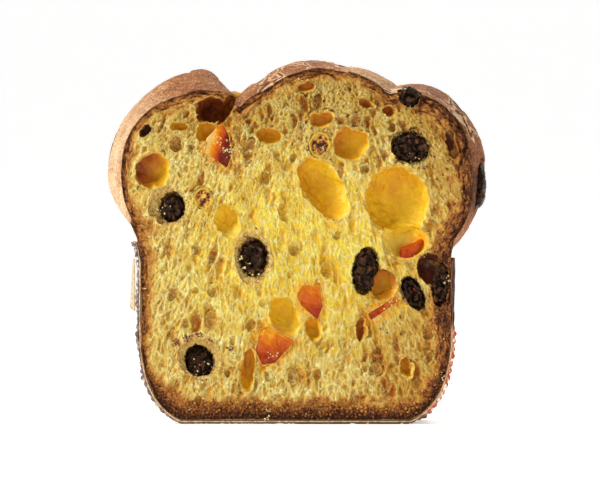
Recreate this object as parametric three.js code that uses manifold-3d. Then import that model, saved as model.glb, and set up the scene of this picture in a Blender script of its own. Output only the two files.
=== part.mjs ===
// A thick upright slice of a tall, domed fruit loaf, with the strip of corrugated paper case it was baked in.
// Millimetres, +Z up. The slice stands on the flat floor of its case, centred on X and Y, with the floor
// at Z = 0. Both faces are cuts: the front one looks along -Y, and the baked crust flares out behind it.
import * as THREE from "three";
import { mergeVertices } from "three/addons/utils/BufferGeometryUtils.js";
import Module from "manifold-3d";

const wasm = await Module();
wasm.setup();

// The slice
const THICKNESS = 26;
const FRONT = -THICKNESS / 2;
const BACK = THICKNESS / 2;
const DEPTH_STEPS = 3; // rings from the front face to the back face
const GAP = 0.3; // clearance between neighbouring pieces
const CRUST = 5; // browned band inside the outline

// The lower part, shaped by the case: half widths and heights
const FLOOR = 1.2; // underside of the loaf
const BASE_HALF = 39;
const CORNER = { half: 51.5, height: 6 }; // control point of the rounded bottom corner
const WALL_HALF = 53;
const WALL_START = 28;
const WALL_TOP = 55;
const BROW = { half: 57, height: 69 }; // where the loaf rises over the rim of the case
const WAIST_TOP = 74; // hidden inside the lobes

// The lobes that rose above the case, on the front face and on the back face: the middle of each, and how
// far it reaches to the left, to the right, down and up
const LOBES = {
  left: {
    front: { x: -34, z: 85, left: 26, right: 26, down: 28, up: 28 },
    back: { x: -33.5, z: 85, left: 32.4, right: 19, down: 26, up: 36.5 },
  },
  dome: {
    front: { x: 9, z: 84, left: 36, right: 36, down: 36.5, up: 36.5 },
    back: { x: 9, z: 84.5, left: 40.5, right: 40.5, down: 40.5, up: 40.5 },
  },
  right: {
    front: { x: 37.5, z: 83.5, left: 23, right: 23, down: 30, up: 30 },
    back: { x: 40, z: 86, left: 26, right: 26, down: 32, up: 31.6 },
  },
  lip: {
    front: { x: -27, z: 109.5, left: 6, right: 6, down: 4, up: 4 },
    back: { x: -29, z: 112, left: 6, right: 6, down: 5, up: 5 },
  },
};
const LOBE_SIDES = 40;
const UNEVEN = 0.012; // share of the radius by which a lobe's baked surface rises and falls
const UNEVEN_WAVES = 5; // rises round a lobe
const UNEVEN_DRIFT = 0.17; // how far they wander round, in radians for each millimetre of depth
const FLARE_POWER = 1.5; // above 1, the crust flares fastest next to the front face

// Lifted plates of crust on a lobe, from one angle to another (degrees from +X)
const PLATES = [
  { lobe: "dome", from: 42, to: 76, lift: 1.1 },
  { lobe: "dome", from: 84, to: 118, lift: 0.7 },
  { lobe: "dome", from: 126, to: 150, lift: 0.9 },
  { lobe: "left", from: 70, to: 96, lift: 0.8 },
  { lobe: "right", from: 8, to: 44, lift: 0.8 },
];
const PLATE_ROOT = 3; // how deep a plate is rooted in its lobe
const PLATE_STEP = 6; // degrees
const PLATE_EDGE = 0.15; // share of the lift's arch that is broken off at each end

// The cleft between the left lobe and the dome
const CLEFT = { top: [-19.8, 115.5], bottom: [-26.5, 101.5], half: 1.9, deep: 15 };

// Hollows in the front face: centre x and z, half width, half height, depth, lean in degrees
const HOLLOWS = [
  { x: 34.3, z: 76.0, across: 11.0, up: 11.8, deep: 9.6, lean: 0 }, // the great round hollow
  { x: 36.5, z: 62.5, across: 8.0, up: 6.0, deep: 8, lean: -10 }, // its torn lower end
  { x: 9.7, z: 80.0, across: 6.6, up: 12.2, deep: 7.5, lean: 34 },
  { x: -48.6, z: 86.5, across: 5.6, up: 6.3, deep: 6.5, lean: -8 },
  { x: 18.7, z: 95.2, across: 6.2, up: 5.6, deep: 6, lean: 0 },
  { x: 9.0, z: 103.5, across: 3.6, up: 2.4, deep: 4, lean: 10 },
  { x: -8.7, z: 97.9, across: 4.6, up: 2.5, deep: 5, lean: -6 },
  { x: -3.9, z: 37.0, across: 4.8, up: 6.8, deep: 6.5, lean: 24 },
  { x: 5.4, z: 32.8, across: 2.7, up: 3.8, deep: 5, lean: 12 },
  { x: 29.6, z: 47.6, across: 4.6, up: 5.2, deep: 6, lean: 16 },
  { x: 22.1, z: 32.3, across: 1.5, up: 4.3, deep: 4.5, lean: -6 },
  { x: -16.5, z: 18.7, across: 2.2, up: 6.8, deep: 4.5, lean: -4 },
  { x: -23.1, z: 68.7, across: 4.2, up: 6.0, deep: 5, lean: 22 },
  { x: 45.9, z: 52.9, across: 4.0, up: 5.4, deep: 5.5, lean: 12 },
  { x: 53.0, z: 95.2, across: 1.7, up: 5.0, deep: 4, lean: 18 },
  { x: -51.6, z: 99.6, across: 1.6, up: 2.6, deep: 3.5, lean: -38 },
  { x: -39.8, z: 101.3, across: 2.9, up: 1.6, deep: 3.5, lean: 8 },
  { x: -30.2, z: 99.6, across: 3.2, up: 3.4, deep: 5, lean: -20 },
  { x: -28.6, z: 106.6, across: 4.9, up: 4.1, deep: 13, lean: 24 }, // the dark end of the cleft
  { x: 37.6, z: 19.4, across: 1.5, up: 3.0, deep: 4, lean: 22 },
  { x: 24.1, z: 108.8, across: 2.6, up: 1.3, deep: 3.5, lean: -14 },
  { x: 3.2, z: 114.6, across: 3.2, up: 1.3, deep: 3.5, lean: 6 },
  { x: 32.0, z: 106.6, across: 2.1, up: 1.6, deep: 4, lean: -20 },
  { x: -43.6, z: 74.6, across: 6.4, up: 6.4, deep: 3.2, lean: 0 }, // round the first raisin
  { x: -14.6, z: 56.6, across: 6.0, up: 8.2, deep: 2.8, lean: 0 },
  { x: -32.6, z: 23.2, across: 7.2, up: 7.0, deep: 4.2, lean: 20 }, // over the raisin with the flap
];
const BACK_HOLLOWS = [2, 14]; // rows of which the back face has the like, mirrored, lower and smaller
const BACK_HOLLOW_SCALE = 0.86;
const BACK_HOLLOW_DROP = 4;
const SMALLEST_SIDES = 7; // round a small hollow
const SIDE_SIZE = 3; // a larger hollow has one side more for each such step in its half sizes
const RINGS_PER_SIDE = 0.7;

// Raisins: centre, half width, half depth and half height, lean in degrees
const FRONT_SEAT = FRONT + 1.6; // middle of a raisin that the knife has laid open on the front face
const BACK_SEAT = BACK - 1.6;
const RAISINS = [
  { x: -42.0, y: FRONT_SEAT + 1.6, z: 73.6, across: 4.3, deep: 4.2, up: 5.1, lean: 0 },
  { x: -14.6, y: FRONT_SEAT + 1.4, z: 56.8, across: 4.7, deep: 4.4, up: 6.6, lean: -4 },
  { x: 23.6, y: FRONT_SEAT, z: 52.2, across: 4.4, deep: 4.4, up: 8.4, lean: -8 },
  { x: 38.9, y: FRONT_SEAT, z: 94.2, across: 6.6, deep: 4.6, up: 5.3, lean: -12 },
  { x: -33.0, y: FRONT_SEAT + 3.8, z: 20.0, across: 5.4, deep: 4.4, up: 7.4, lean: 18 }, // half under a flap
  { x: 38.6, y: FRONT_SEAT + 1.6, z: 111.4, across: 4.6, deep: 4.4, up: 4.2, lean: 0 },
  { x: 62.9, y: 2, z: 81.6, across: 3.0, deep: 6.5, up: 8.6, lean: 0 },
  { x: 39.9, y: FRONT_SEAT, z: 44.6, across: 3.3, deep: 4.0, up: 6.4, lean: 26 },
  { x: 49.1, y: FRONT_SEAT, z: 47.6, across: 3.1, deep: 3.8, up: 7.6, lean: -4 },
  { x: -31.6, y: FRONT_SEAT, z: 76.8, across: 3.4, deep: 3.2, up: 4.2, lean: 24 },
  { x: 8.0, y: FRONT_SEAT, z: 95.2, across: 4.0, deep: 3.2, up: 4.9, lean: -10 },
  { x: 30.5, y: BACK_SEAT, z: 34.0, across: 4.8, deep: 4.4, up: 6.2, lean: 16 },
  { x: -24.0, y: BACK_SEAT, z: 64.0, across: 5.2, deep: 4.4, up: 4.6, lean: -10 },
  { x: 6.5, y: BACK_SEAT, z: 100.5, across: 4.4, deep: 4.2, up: 6.0, lean: 8 },
  { x: -8.0, y: BACK_SEAT, z: 20.5, across: 4.4, deep: 4.2, up: 5.6, lean: -20 },
  { x: 46.0, y: BACK_SEAT, z: 84.5, across: 4.2, deep: 4.2, up: 5.8, lean: 0 },
];
const RAISIN_SIDES = 10;
const RAISIN_RINGS = 7;
const WRINKLE = 0.09; // share of the radius
const WRINKLE_FOLDS = 4; // lengthwise, round the raisin
const WRINKLE_DENTS = 5; // along it
const WRINKLE_MIX = 0.6; // share of the folds, the rest being dents

// Candied peel: blocks diced by hand, so each kind has its own cut outline (x, z about its middle)
const PEEL_CUTS = {
  dice: [[-4.3, 5.8], [-2, 6.6], [7.1, 1.8], [0.4, -5.7], [-4.1, -6.4], [-6.3, -1.2]],
  tooth: [[-2.4, 5.4], [3.4, 4.8], [4.2, -1.7], [2.6, -6.5], [-3.1, -1.4], [-4.4, 1.9]],
  wedge: [[-3, 1.4], [4.2, 4.3], [2.6, -0.3], [-1.1, -4.4], [-3.7, -2]],
  strip: [[-4.9, -1.7], [4.3, 3.9], [5.1, 2.4], [-3.9, -3.9]],
  rind: [[1.7, 7.5], [3.7, 3.4], [4.8, -3.4], [3.1, -7.8], [-0.7, -5.1], [-4.4, -1.7], [-3.4, 2.4]],
  stub: [[-2.6, -2.6], [2.4, -3], [3, 2.6], [-2.2, 3]],
};
const PEELS = [
  { cut: "dice", x: -7.5, y: FRONT + 4, z: 26.6, deep: 8, lean: 0 },
  { cut: "tooth", x: 4.8, y: FRONT + 3.5, z: 42.0, deep: 7, lean: 0 },
  { cut: "wedge", x: 39.2, y: FRONT + 7, z: 58.4, deep: 8, lean: 0 },
  { cut: "strip", x: 29.4, y: FRONT + 3.5, z: 39.3, deep: 7, lean: 0 },
  { cut: "rind", x: -26.6, y: FRONT + 4, z: 95.0, deep: 8, lean: 0 },
  { cut: "stub", x: -20.6, y: FRONT + 16.6, z: 110.6, deep: 5, lean: 0 },
  { cut: "dice", x: -36.0, y: BACK - 4, z: 40.0, deep: 8, lean: 70 },
  { cut: "tooth", x: 22.0, y: BACK - 4, z: 66.0, deep: 8, lean: -50 },
  { cut: "rind", x: -30.0, y: BACK - 4, z: 98.0, deep: 8, lean: 100 },
];
const PEEL_REACH = 6; // about how far a block reaches from its middle
const PEEL_BEVEL = 0.7;

// Pores of the open crumb, strewn over both faces by a rule
const PORE_SPACING = 9.4;
const PORE_RADIUS = [0.9, 1.9];
const PORE_SMALLNESS = 1.6; // above 1, most pores are small
const PORE_STRETCH = [1.1, 2.0]; // pores are drawn out upwards, as the dough rose
const PORE_DEPTH = 1.3; // half depth, in radii
const PORE_FAN = -0.35; // degrees of lean for each millimetre away from the middle
const PORE_SWAY = 30; // degrees between the largest leans to either side of that
const PORE_CLEARANCE = 2.6; // from hollows, raisins and peel
const PORE_SEED = 11;

// The paper case: a smooth liner with a corrugated sheet glued to its outside
const LINER = 0.6;
const RIDGE = 1.4;
const RIDGE_PITCH = 2.5;
const RIDGE_STEPS = 4;
const CASE_TOP = { left: 64, right: 58 };
const RIDGES_FROM = 4; // height at which the corrugation starts, above the flat floor

const COLOURS = {
  loaf: 0xd9b765,
  paper: 0xa07a66,
  raisin: 0x38241a,
  peel: 0xd0752a,
};

const mix = THREE.MathUtils.lerp;
const radians = THREE.MathUtils.degToRad;

// A repeatable random number source, from 0 to 1.
function seededRandom(seed) {
  let state = seed;
  return () => {
    state = (state * 1664525 + 1013904223) % 4294967296;
    return state / 4294967296;
  };
}

// A closed geometry as a solid for joining and cutting.
function solid(geometry) {
  const bare = new THREE.BufferGeometry();
  bare.setAttribute("position", geometry.getAttribute("position"));
  bare.setIndex(geometry.index);
  const merged = mergeVertices(bare, 1e-4);
  return new wasm.Manifold(
    new wasm.Mesh({
      numProp: 3,
      vertProperties: merged.attributes.position.array,
      triVerts: new Uint32Array(merged.index.array),
    }),
  );
}

// A solid back as a geometry with flat-shaded faces.
function geometryOf(manifold) {
  const mesh = manifold.getMesh();
  const geometry = new THREE.BufferGeometry();
  geometry.setAttribute("position", new THREE.BufferAttribute(mesh.vertProperties, 3));
  geometry.setIndex(new THREE.BufferAttribute(mesh.triVerts, 1));
  geometry.computeVertexNormals();
  return geometry;
}

// An outline in X and Z, given as points or as a shape, drawn out along Y from one depth to another.
function drawnOut(shape, from, to, steps = 1) {
  const geometry = new THREE.ExtrudeGeometry(shape, {
    depth: to - from,
    steps,
    curveSegments: 10,
    bevelEnabled: false,
  });
  return geometry.rotateX(Math.PI / 2).translate(0, to, 0);
}

// Moves every vertex of a geometry by a rule of its own place.
function reshape(geometry, rule) {
  const place = geometry.getAttribute("position");
  const point = new THREE.Vector3();
  for (let i = 0; i < place.count; i++) {
    point.fromBufferAttribute(place, i);
    rule(point);
    place.setXYZ(i, point.x, point.y, point.z);
  }
  return geometry;
}

// How far a lobe has flared out at a depth: 0 on the front face and 1 on the back face.
function flareAt(y) {
  return 1 - (1 - (y - FRONT) / THICKNESS) ** FLARE_POWER;
}

// A lobe's ellipse at a depth.
function ellipseAt(lobe, y) {
  const t = flareAt(y);
  const size = {};
  for (const key of Object.keys(lobe.front)) size[key] = mix(lobe.front[key], lobe.back[key], t);
  return size;
}

// How far a lobe's ellipse reaches along X and Z, on the side that a direction points to.
function reachOf(size, x, z) {
  return { across: x < 0 ? size.left : size.right, up: z < 0 ? size.down : size.up };
}

// Places points of a unit circle on a lobe's baked surface, which is a little uneven.
function ontoLobe(lobe) {
  return (point) => {
    const size = ellipseAt(lobe, point.y);
    const { across, up } = reachOf(size, point.x, point.z);
    const angle = Math.atan2(point.z, point.x);
    const swell = 1 + UNEVEN * Math.sin(UNEVEN_WAVES * angle + UNEVEN_DRIFT * point.y + lobe.front.x);
    point.x = size.x + across * point.x * swell;
    point.z = size.z + up * point.z * swell;
  };
}

function lobeSolid(lobe) {
  const outline = [];
  for (let i = 0; i < LOBE_SIDES; i++) {
    const angle = (2 * Math.PI * i) / LOBE_SIDES;
    outline.push(new THREE.Vector2(Math.cos(angle), Math.sin(angle)));
  }
  const round = drawnOut(new THREE.Shape(outline), FRONT, BACK, DEPTH_STEPS);
  return solid(reshape(round, ontoLobe(lobe)));
}

// A plate of crust that has cracked and lifted along its lower edge.
function plateSolid({ lobe, from, to, lift }) {
  const reach = LOBES[lobe].front.up;
  const outer = [];
  const inner = [];
  const steps = Math.round((to - from) / PLATE_STEP);
  for (let i = 0; i <= steps; i++) {
    const t = i / steps;
    const angle = radians(mix(from, to, t));
    const high = 1 + (lift * Math.sin(Math.PI * mix(PLATE_EDGE, 1 - PLATE_EDGE, t))) / reach;
    const low = 1 - PLATE_ROOT / reach;
    outer.push(new THREE.Vector2(high * Math.cos(angle), high * Math.sin(angle)));
    inner.unshift(new THREE.Vector2(low * Math.cos(angle), low * Math.sin(angle)));
  }
  const plate = drawnOut(new THREE.Shape([...outer, ...inner]), FRONT, BACK, DEPTH_STEPS);
  return solid(reshape(plate, ontoLobe(LOBES[lobe])));
}

// One side of the lower outline, from the middle of the base up to where the lobes take over.
function wallPath() {
  const path = new THREE.Path();
  path.moveTo(0, FLOOR);
  path.lineTo(BASE_HALF, FLOOR);
  path.quadraticCurveTo(CORNER.half, CORNER.height, WALL_HALF, WALL_START);
  path.lineTo(WALL_HALF, WALL_TOP);
  path.quadraticCurveTo(WALL_HALF, (WALL_TOP + BROW.height) / 2, BROW.half, BROW.height);
  return path;
}

function lowerSolid() {
  const right = wallPath().getPoints(8).slice(1);
  right.push(new THREE.Vector2(BROW.half - 2, WAIST_TOP));
  const left = right.map((p) => new THREE.Vector2(-p.x, p.y)).reverse();
  return solid(drawnOut(new THREE.Shape([...right, ...left]), FRONT, BACK));
}

// An ellipsoid that leans in the plane of the cut. Grow makes a socket out of it.
function ovalSolid({ x, y, z, across, deep, up, lean }, grow = 0) {
  const sides = SMALLEST_SIDES + Math.round((across + up) / SIDE_SIZE);
  const oval = new THREE.SphereGeometry(1, sides, Math.round(RINGS_PER_SIDE * sides));
  oval.scale(across + grow, deep + grow, up + grow);
  oval.rotateY(radians(-lean)).translate(x, y, z);
  return solid(oval);
}

function cleftSolid() {
  const top = new THREE.Vector2(...CLEFT.top);
  const bottom = new THREE.Vector2(...CLEFT.bottom);
  const lean = Math.atan2(top.x - bottom.x, top.y - bottom.y);
  const slot = {
    x: (top.x + bottom.x) / 2,
    y: FRONT,
    z: (top.y + bottom.y) / 2,
    across: CLEFT.half,
    up: top.distanceTo(bottom) / 2,
    deep: CLEFT.deep,
    lean: -THREE.MathUtils.radToDeg(lean),
  };
  return ovalSolid(slot);
}

// The hollows of the back face: those of the front, mirrored, lower and smaller.
function backHollows() {
  return HOLLOWS.slice(...BACK_HOLLOWS).map((hollow) => ({
    ...hollow,
    x: -hollow.x * BACK_HOLLOW_SCALE,
    z: hollow.z - BACK_HOLLOW_DROP,
    across: hollow.across * BACK_HOLLOW_SCALE,
    up: hollow.up * BACK_HOLLOW_SCALE,
    deep: hollow.deep * BACK_HOLLOW_SCALE,
    lean: -hollow.lean,
    y: BACK,
  }));
}

// A raisin: an ellipsoid with lengthwise wrinkles and a few dents, cut flush where the knife went through.
function raisinGeometry(raisin, seed) {
  const shape = new THREE.SphereGeometry(1, RAISIN_SIDES, RAISIN_RINGS);
  reshape(shape, (point) => {
    const turn = Math.atan2(point.y, point.x);
    const folds = Math.sin(WRINKLE_FOLDS * turn + seed) * (1 - point.z * point.z);
    const dents = Math.sin(WRINKLE_DENTS * point.z + 2 * turn + 2 * seed);
    const round = Math.hypot(point.x, point.y) < 1e-6 ? 0 : mix(dents, folds, WRINKLE_MIX);
    point.multiplyScalar(1 - WRINKLE + WRINKLE * round);
  });
  shape.scale(raisin.across, raisin.deep, raisin.up);
  shape.rotateY(radians(-raisin.lean)).translate(0, raisin.y, 0);
  const wide = 4 * raisin.up; // clear of the whole raisin
  const slab = new THREE.BoxGeometry(wide, THICKNESS, wide);
  const trimmed = solid(shape).intersect(solid(slab));
  return geometryOf(trimmed).translate(0, -raisin.y, 0);
}

// A block of candied peel: its cut outline drawn out along Y, with bevelled edges. Grow makes its socket.
function peelGeometry(peel, grow = 0) {
  const outline = PEEL_CUTS[peel.cut].map(([x, z]) => new THREE.Vector2(x, z));
  const depth = peel.deep - 2 * PEEL_BEVEL;
  const block = new THREE.ExtrudeGeometry(new THREE.Shape(outline), {
    depth,
    bevelSize: PEEL_BEVEL + grow,
    bevelOffset: -PEEL_BEVEL,
    bevelThickness: PEEL_BEVEL + grow,
    bevelSegments: 2,
  });
  block.translate(0, 0, -depth / 2);
  return block.rotateX(Math.PI / 2).rotateY(radians(-peel.lean));
}

// Whether a point of a cut face lies inside the crust, at least a margin from the outline.
function inCrumb(x, z, face, margin) {
  const inLobe = Object.values(LOBES).some((lobe) => {
    const size = lobe[face];
    const { across, up } = reachOf(size, x - size.x, z - size.z);
    const away = Math.hypot((x - size.x) / (across - margin), (z - size.z) / (up - margin));
    return away < 1 && Math.min(across, up) > margin;
  });
  const low = Math.abs(x) < WALL_HALF - margin && z > FLOOR + margin && z < WAIST_TOP;
  const corner = Math.abs(x) - BASE_HALF + margin > z - FLOOR - margin;
  return inLobe || (low && !corner);
}

// Whether a point lies clear of everything else that opens on its face.
function clearOf(things, x, z, clearance) {
  return things.every((thing) => {
    const across = thing.across ?? PEEL_REACH;
    const up = thing.up ?? PEEL_REACH;
    const away = Math.hypot((x - thing.x) / across, (z - thing.z) / up);
    return (away - 1) * Math.min(across, up) > clearance;
  });
}

// The pores of one cut face, on a jittered grid.
function pores(face, y, things, random) {
  const found = [];
  const half = LOBES.right[face].x + LOBES.right[face].right;
  const height = LOBES.dome[face].z + LOBES.dome[face].up;
  for (let gridX = -half; gridX < half; gridX += PORE_SPACING) {
    for (let gridZ = FLOOR; gridZ < height; gridZ += PORE_SPACING) {
      const x = gridX + PORE_SPACING * random();
      const z = gridZ + PORE_SPACING * random();
      const radius = mix(...PORE_RADIUS, random() ** PORE_SMALLNESS);
      const stretch = mix(...PORE_STRETCH, random());
      const lean = PORE_FAN * x + PORE_SWAY * (random() - 0.5);
      if (!inCrumb(x, z, face, CRUST) || !clearOf(things, x, z, PORE_CLEARANCE)) continue;
      found.push({ x, y, z, radius, stretch, lean });
    }
  }
  return found;
}

function poreSolid({ x, y, z, radius, stretch, lean }) {
  const pore = new THREE.IcosahedronGeometry(radius, 0);
  pore.scale(1, PORE_DEPTH, stretch).rotateY(radians(-lean)).translate(x, y, z);
  return solid(pore);
}

function loafSolid() {
  let loaf = lowerSolid();
  for (const lobe of Object.values(LOBES)) loaf = loaf.add(lobeSolid(lobe));
  for (const plate of PLATES) loaf = loaf.add(plateSolid(plate));
  loaf = loaf.subtract(cleftSolid());

  const frontHollows = HOLLOWS.map((hollow) => ({ ...hollow, y: FRONT }));
  const rearHollows = backHollows();
  for (const hollow of [...frontHollows, ...rearHollows]) {
    loaf = loaf.subtract(ovalSolid(hollow));
  }

  const random = seededRandom(PORE_SEED);
  const pieces = [...RAISINS, ...PEELS];
  const frontThings = [...frontHollows, ...pieces.filter((piece) => piece.y < 0)];
  const rearThings = [...rearHollows, ...pieces.filter((piece) => piece.y > 0)];
  const frontPores = pores("front", FRONT, frontThings, random);
  const rearPores = pores("back", BACK, rearThings, random);
  for (const pore of [...frontPores, ...rearPores]) loaf = loaf.subtract(poreSolid(pore));

  for (const raisin of RAISINS) loaf = loaf.subtract(ovalSolid(raisin, GAP));
  for (const peel of PEELS) {
    loaf = loaf.subtract(solid(peelGeometry(peel, GAP).translate(peel.x, peel.y, peel.z)));
  }
  return loaf;
}

// The wall of the case on one side, from the middle of the floor up: points inside and outside the paper.
function caseSide(side, top) {
  const path = wallPath();
  const count = Math.round((path.getLength() / RIDGE_PITCH) * RIDGE_STEPS);
  const line = path.getSpacedPoints(count);
  const inside = [];
  const outside = [];
  for (let i = 1; i < count; i++) {
    const here = line[i];
    if (here.y > top) break;
    const along = new THREE.Vector2().subVectors(line[i + 1], line[i - 1]).normalize();
    const out = new THREE.Vector2(along.y, -along.x);
    const onWall = THREE.MathUtils.smoothstep(here.y, FLOOR, RIDGES_FROM);
    const wave = 0.5 - 0.5 * Math.cos((2 * Math.PI * i) / RIDGE_STEPS);
    const thick = mix(FLOOR, GAP + LINER + RIDGE * wave, onWall);
    if (here.y === FLOOR && i < count / 4) continue; // the middle of the floor is flat
    if (i % RIDGE_STEPS === 0) inside.push(here.clone().addScaledVector(out, GAP));
    outside.push(here.clone().addScaledVector(out, thick));
  }
  for (const point of [...inside, ...outside]) {
    point.x *= side;
    point.y = Math.max(point.y, 0);
  }
  return { inside, outside };
}

function caseSolid() {
  const left = caseSide(-1, CASE_TOP.left);
  const right = caseSide(1, CASE_TOP.right);
  const outline = [...left.outside.reverse(), ...right.outside, ...right.inside.reverse(), ...left.inside];
  return solid(drawnOut(new THREE.Shape(outline), FRONT, BACK));
}

// Each node is a mesh of its own, with the material of what it is.
function piece(name, geometry, colour, roughness) {
  const material = new THREE.MeshStandardMaterial({ color: colour, roughness, metalness: 0 });
  const mesh = new THREE.Mesh(geometry, material);
  mesh.name = name;
  return mesh;
}

const slice = new THREE.Group();
slice.add(piece("loaf", geometryOf(loafSolid()), COLOURS.loaf, 0.85));
slice.add(piece("paper_case", geometryOf(caseSolid()), COLOURS.paper, 0.8));

RAISINS.forEach((raisin, i) => {
  const mesh = piece(`raisin_${i + 1}`, raisinGeometry(raisin, i), COLOURS.raisin, 0.45);
  mesh.position.set(raisin.x, raisin.y, raisin.z);
  slice.add(mesh);
});

PEELS.forEach((peel, i) => {
  const mesh = piece(`peel_${i + 1}`, peelGeometry(peel), COLOURS.peel, 0.3);
  mesh.position.set(peel.x, peel.y, peel.z);
  slice.add(mesh);
});

export default slice;
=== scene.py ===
"""A thick upright slice of a tall, domed fruit loaf in its strip of corrugated paper case.

The scene is in metres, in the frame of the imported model: X runs to the right across the cut faces, Y from
the front cut to the back cut, and Z up from the surface that the slice stands on. The tables of sizes are
in millimetres, and so is every function that takes an array of points.
"""
import math

import bmesh
import bpy
import numpy as np
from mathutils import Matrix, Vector
from mathutils.bvhtree import BVHTree


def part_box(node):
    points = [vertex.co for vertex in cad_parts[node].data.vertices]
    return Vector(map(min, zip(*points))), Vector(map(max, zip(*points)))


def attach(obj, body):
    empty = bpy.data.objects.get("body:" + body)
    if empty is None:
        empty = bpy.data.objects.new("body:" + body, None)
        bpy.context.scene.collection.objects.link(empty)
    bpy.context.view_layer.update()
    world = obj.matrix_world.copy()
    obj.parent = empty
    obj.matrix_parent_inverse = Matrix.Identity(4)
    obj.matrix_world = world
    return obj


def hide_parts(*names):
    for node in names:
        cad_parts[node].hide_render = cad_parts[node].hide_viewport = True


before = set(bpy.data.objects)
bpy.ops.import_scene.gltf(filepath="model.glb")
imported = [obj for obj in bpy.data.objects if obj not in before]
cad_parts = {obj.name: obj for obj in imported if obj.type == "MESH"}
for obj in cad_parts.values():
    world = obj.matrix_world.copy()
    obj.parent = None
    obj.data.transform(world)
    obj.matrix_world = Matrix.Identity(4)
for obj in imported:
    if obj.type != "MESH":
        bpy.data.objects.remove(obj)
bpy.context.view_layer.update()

MM = 0.001

# ---------------------------------------------------------------------------------------------------
# Sizes of the slice, in millimetres
# ---------------------------------------------------------------------------------------------------
THICKNESS = 26.0
FRONT = -THICKNESS / 2
BACK = THICKNESS / 2
FLOOR = 1.2  # underside of the loaf, above the floor of its case
BASE_HALF = 39.0
CORNER = (51.5, 6.0)  # control point of the rounded bottom corner
WALL_HALF = 53.0
WALL_START = 28.0
WALL_TOP = 55.0
BROW = (57.0, 69.0)  # where the loaf rises over the rim of the case
WAIST_TOP = 74.0
FLARE_POWER = 1.5

# Lobes of the risen top, on the front and on the back face: middle x and z, and how far they reach to the
# left, to the right, down and up
LOBES = {
    "left": ((-34, 85, 26, 26, 28, 28), (-33.5, 85, 32.4, 19, 26, 36.5)),
    "dome": ((9, 84, 36, 36, 36.5, 36.5), (9, 84.5, 40.5, 40.5, 40.5, 40.5)),
    "right": ((37.5, 83.5, 23, 23, 30, 30), (40, 86, 26, 26, 32, 31.6)),
    "lip": ((-27, 109.5, 6, 6, 4, 4), (-29, 112, 6, 6, 5, 5)),
}
UNEVEN = 0.012  # share of the radius by which a lobe's baked surface rises and falls
UNEVEN_WAVES = 5
UNEVEN_DRIFT = 0.17
PLATES = [("dome", 42, 76, 1.1), ("dome", 84, 118, 0.7), ("dome", 126, 150, 0.9), ("left", 70, 96, 0.8),
          ("right", 8, 44, 0.8)]  # lifted crust: lobe, from and to in degrees, and how high
PLATE_EDGE = 0.15

# Hollows of the front face: x, z, half width, half height, depth, lean in degrees, how brown the wall is,
# and how much browner its left is, as painted shade on the side away from the light
HOLLOWS = [
    (34.3, 76.0, 11.0, 11.8, 9.6, 0, 0.24, 0.05),
    (36.5, 62.5, 8.0, 6.0, 8, -10, 0.10, -0.10),
    (9.7, 80.0, 6.6, 12.2, 7.5, 34, 0.26, 0.12),
    (-48.6, 86.5, 5.6, 6.3, 6.5, -8, 0.50, 0.40),
    (18.7, 95.2, 6.2, 5.6, 6, 0, 0.34, 0.12),
    (9.0, 103.5, 3.6, 2.4, 4, 10, 0.42, 0.0),
    (-8.7, 97.9, 4.6, 2.5, 5, -6, 0.36, 0.0),
    (-3.9, 37.0, 4.8, 6.8, 6.5, 24, 0.14, -0.06),
    (5.4, 32.8, 2.7, 3.8, 5, 12, 0.24, 0.0),
    (29.6, 47.6, 4.6, 5.2, 6, 16, 0.48, -0.1),
    (22.1, 32.3, 1.5, 4.3, 4.5, -6, 0.62, 0.0),
    (-16.5, 18.7, 2.2, 6.8, 4.5, -4, 0.44, 0.05),
    (-23.1, 68.7, 4.2, 6.0, 5, 22, 0.16, 0.0),
    (45.9, 52.9, 4.0, 5.4, 5.5, 12, 1.00, 0.0),
    (53.0, 95.2, 1.7, 5.0, 4, 18, 0.95, 0.0),
    (-51.6, 99.6, 1.6, 2.6, 3.5, -38, 1.00, 0.0),
    (-39.8, 101.3, 2.9, 1.6, 3.5, 8, 0.40, 0.0),
    (-30.2, 99.6, 3.2, 3.4, 5, -20, 0.36, 0.1),
    (-28.6, 106.6, 4.9, 4.1, 13, 24, 0.76, 0.0),
    (37.6, 19.4, 1.5, 3.0, 4, 22, 0.44, 0.0),
    (24.1, 108.8, 2.6, 1.3, 3.5, -14, 0.54, 0.0),
    (3.2, 114.6, 3.2, 1.3, 3.5, 6, 0.56, 0.0),
    (32.0, 106.6, 2.1, 1.6, 4, -20, 0.64, 0.0),
    (-43.6, 74.6, 6.4, 6.4, 3.2, 0, 0.42, -0.15),
    (-14.6, 56.6, 6.0, 8.2, 2.8, 0, 0.10, 0.0),
    (-32.6, 23.2, 7.2, 7.0, 4.2, 20, 0.40, 0.0),
]
POCKETS = range(23, 26)  # the hollows that are no more than room round a raisin
BACK_HOLLOWS = slice(2, 14)  # the hollows of which the back face has the like, mirrored, lower and smaller
BACK_HOLLOW_SCALE = 0.86
BACK_HOLLOW_DROP = 4.0


def mixed(low, high, share):
    return low + (high - low) * share


def smooth(low, high, value):
    """0 below low, 1 above high, and a smooth rise between them."""
    t = np.clip((value - low) / (high - low), 0, 1)
    return t * t * (3 - 2 * t)


# ---------------------------------------------------------------------------------------------------
# Repeatable noise on arrays of points
# ---------------------------------------------------------------------------------------------------
def scrambled(cell, salt):
    """A repeatable number from 0 to 1 for each whole-number cell."""
    h = (cell[:, 0] * 73856093) ^ (cell[:, 1] * 19349663) ^ (cell[:, 2] * 83492791) ^ (salt * 97531)
    h = (h & 0xFFFFFFFF).astype(np.uint32)
    for shift, factor in ((15, 2246822519), (13, 3266489917)):
        h = (h ^ (h >> np.uint32(shift))) * np.uint32(factor)
    return (h ^ (h >> np.uint32(16))) / 4294967295.0


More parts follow.
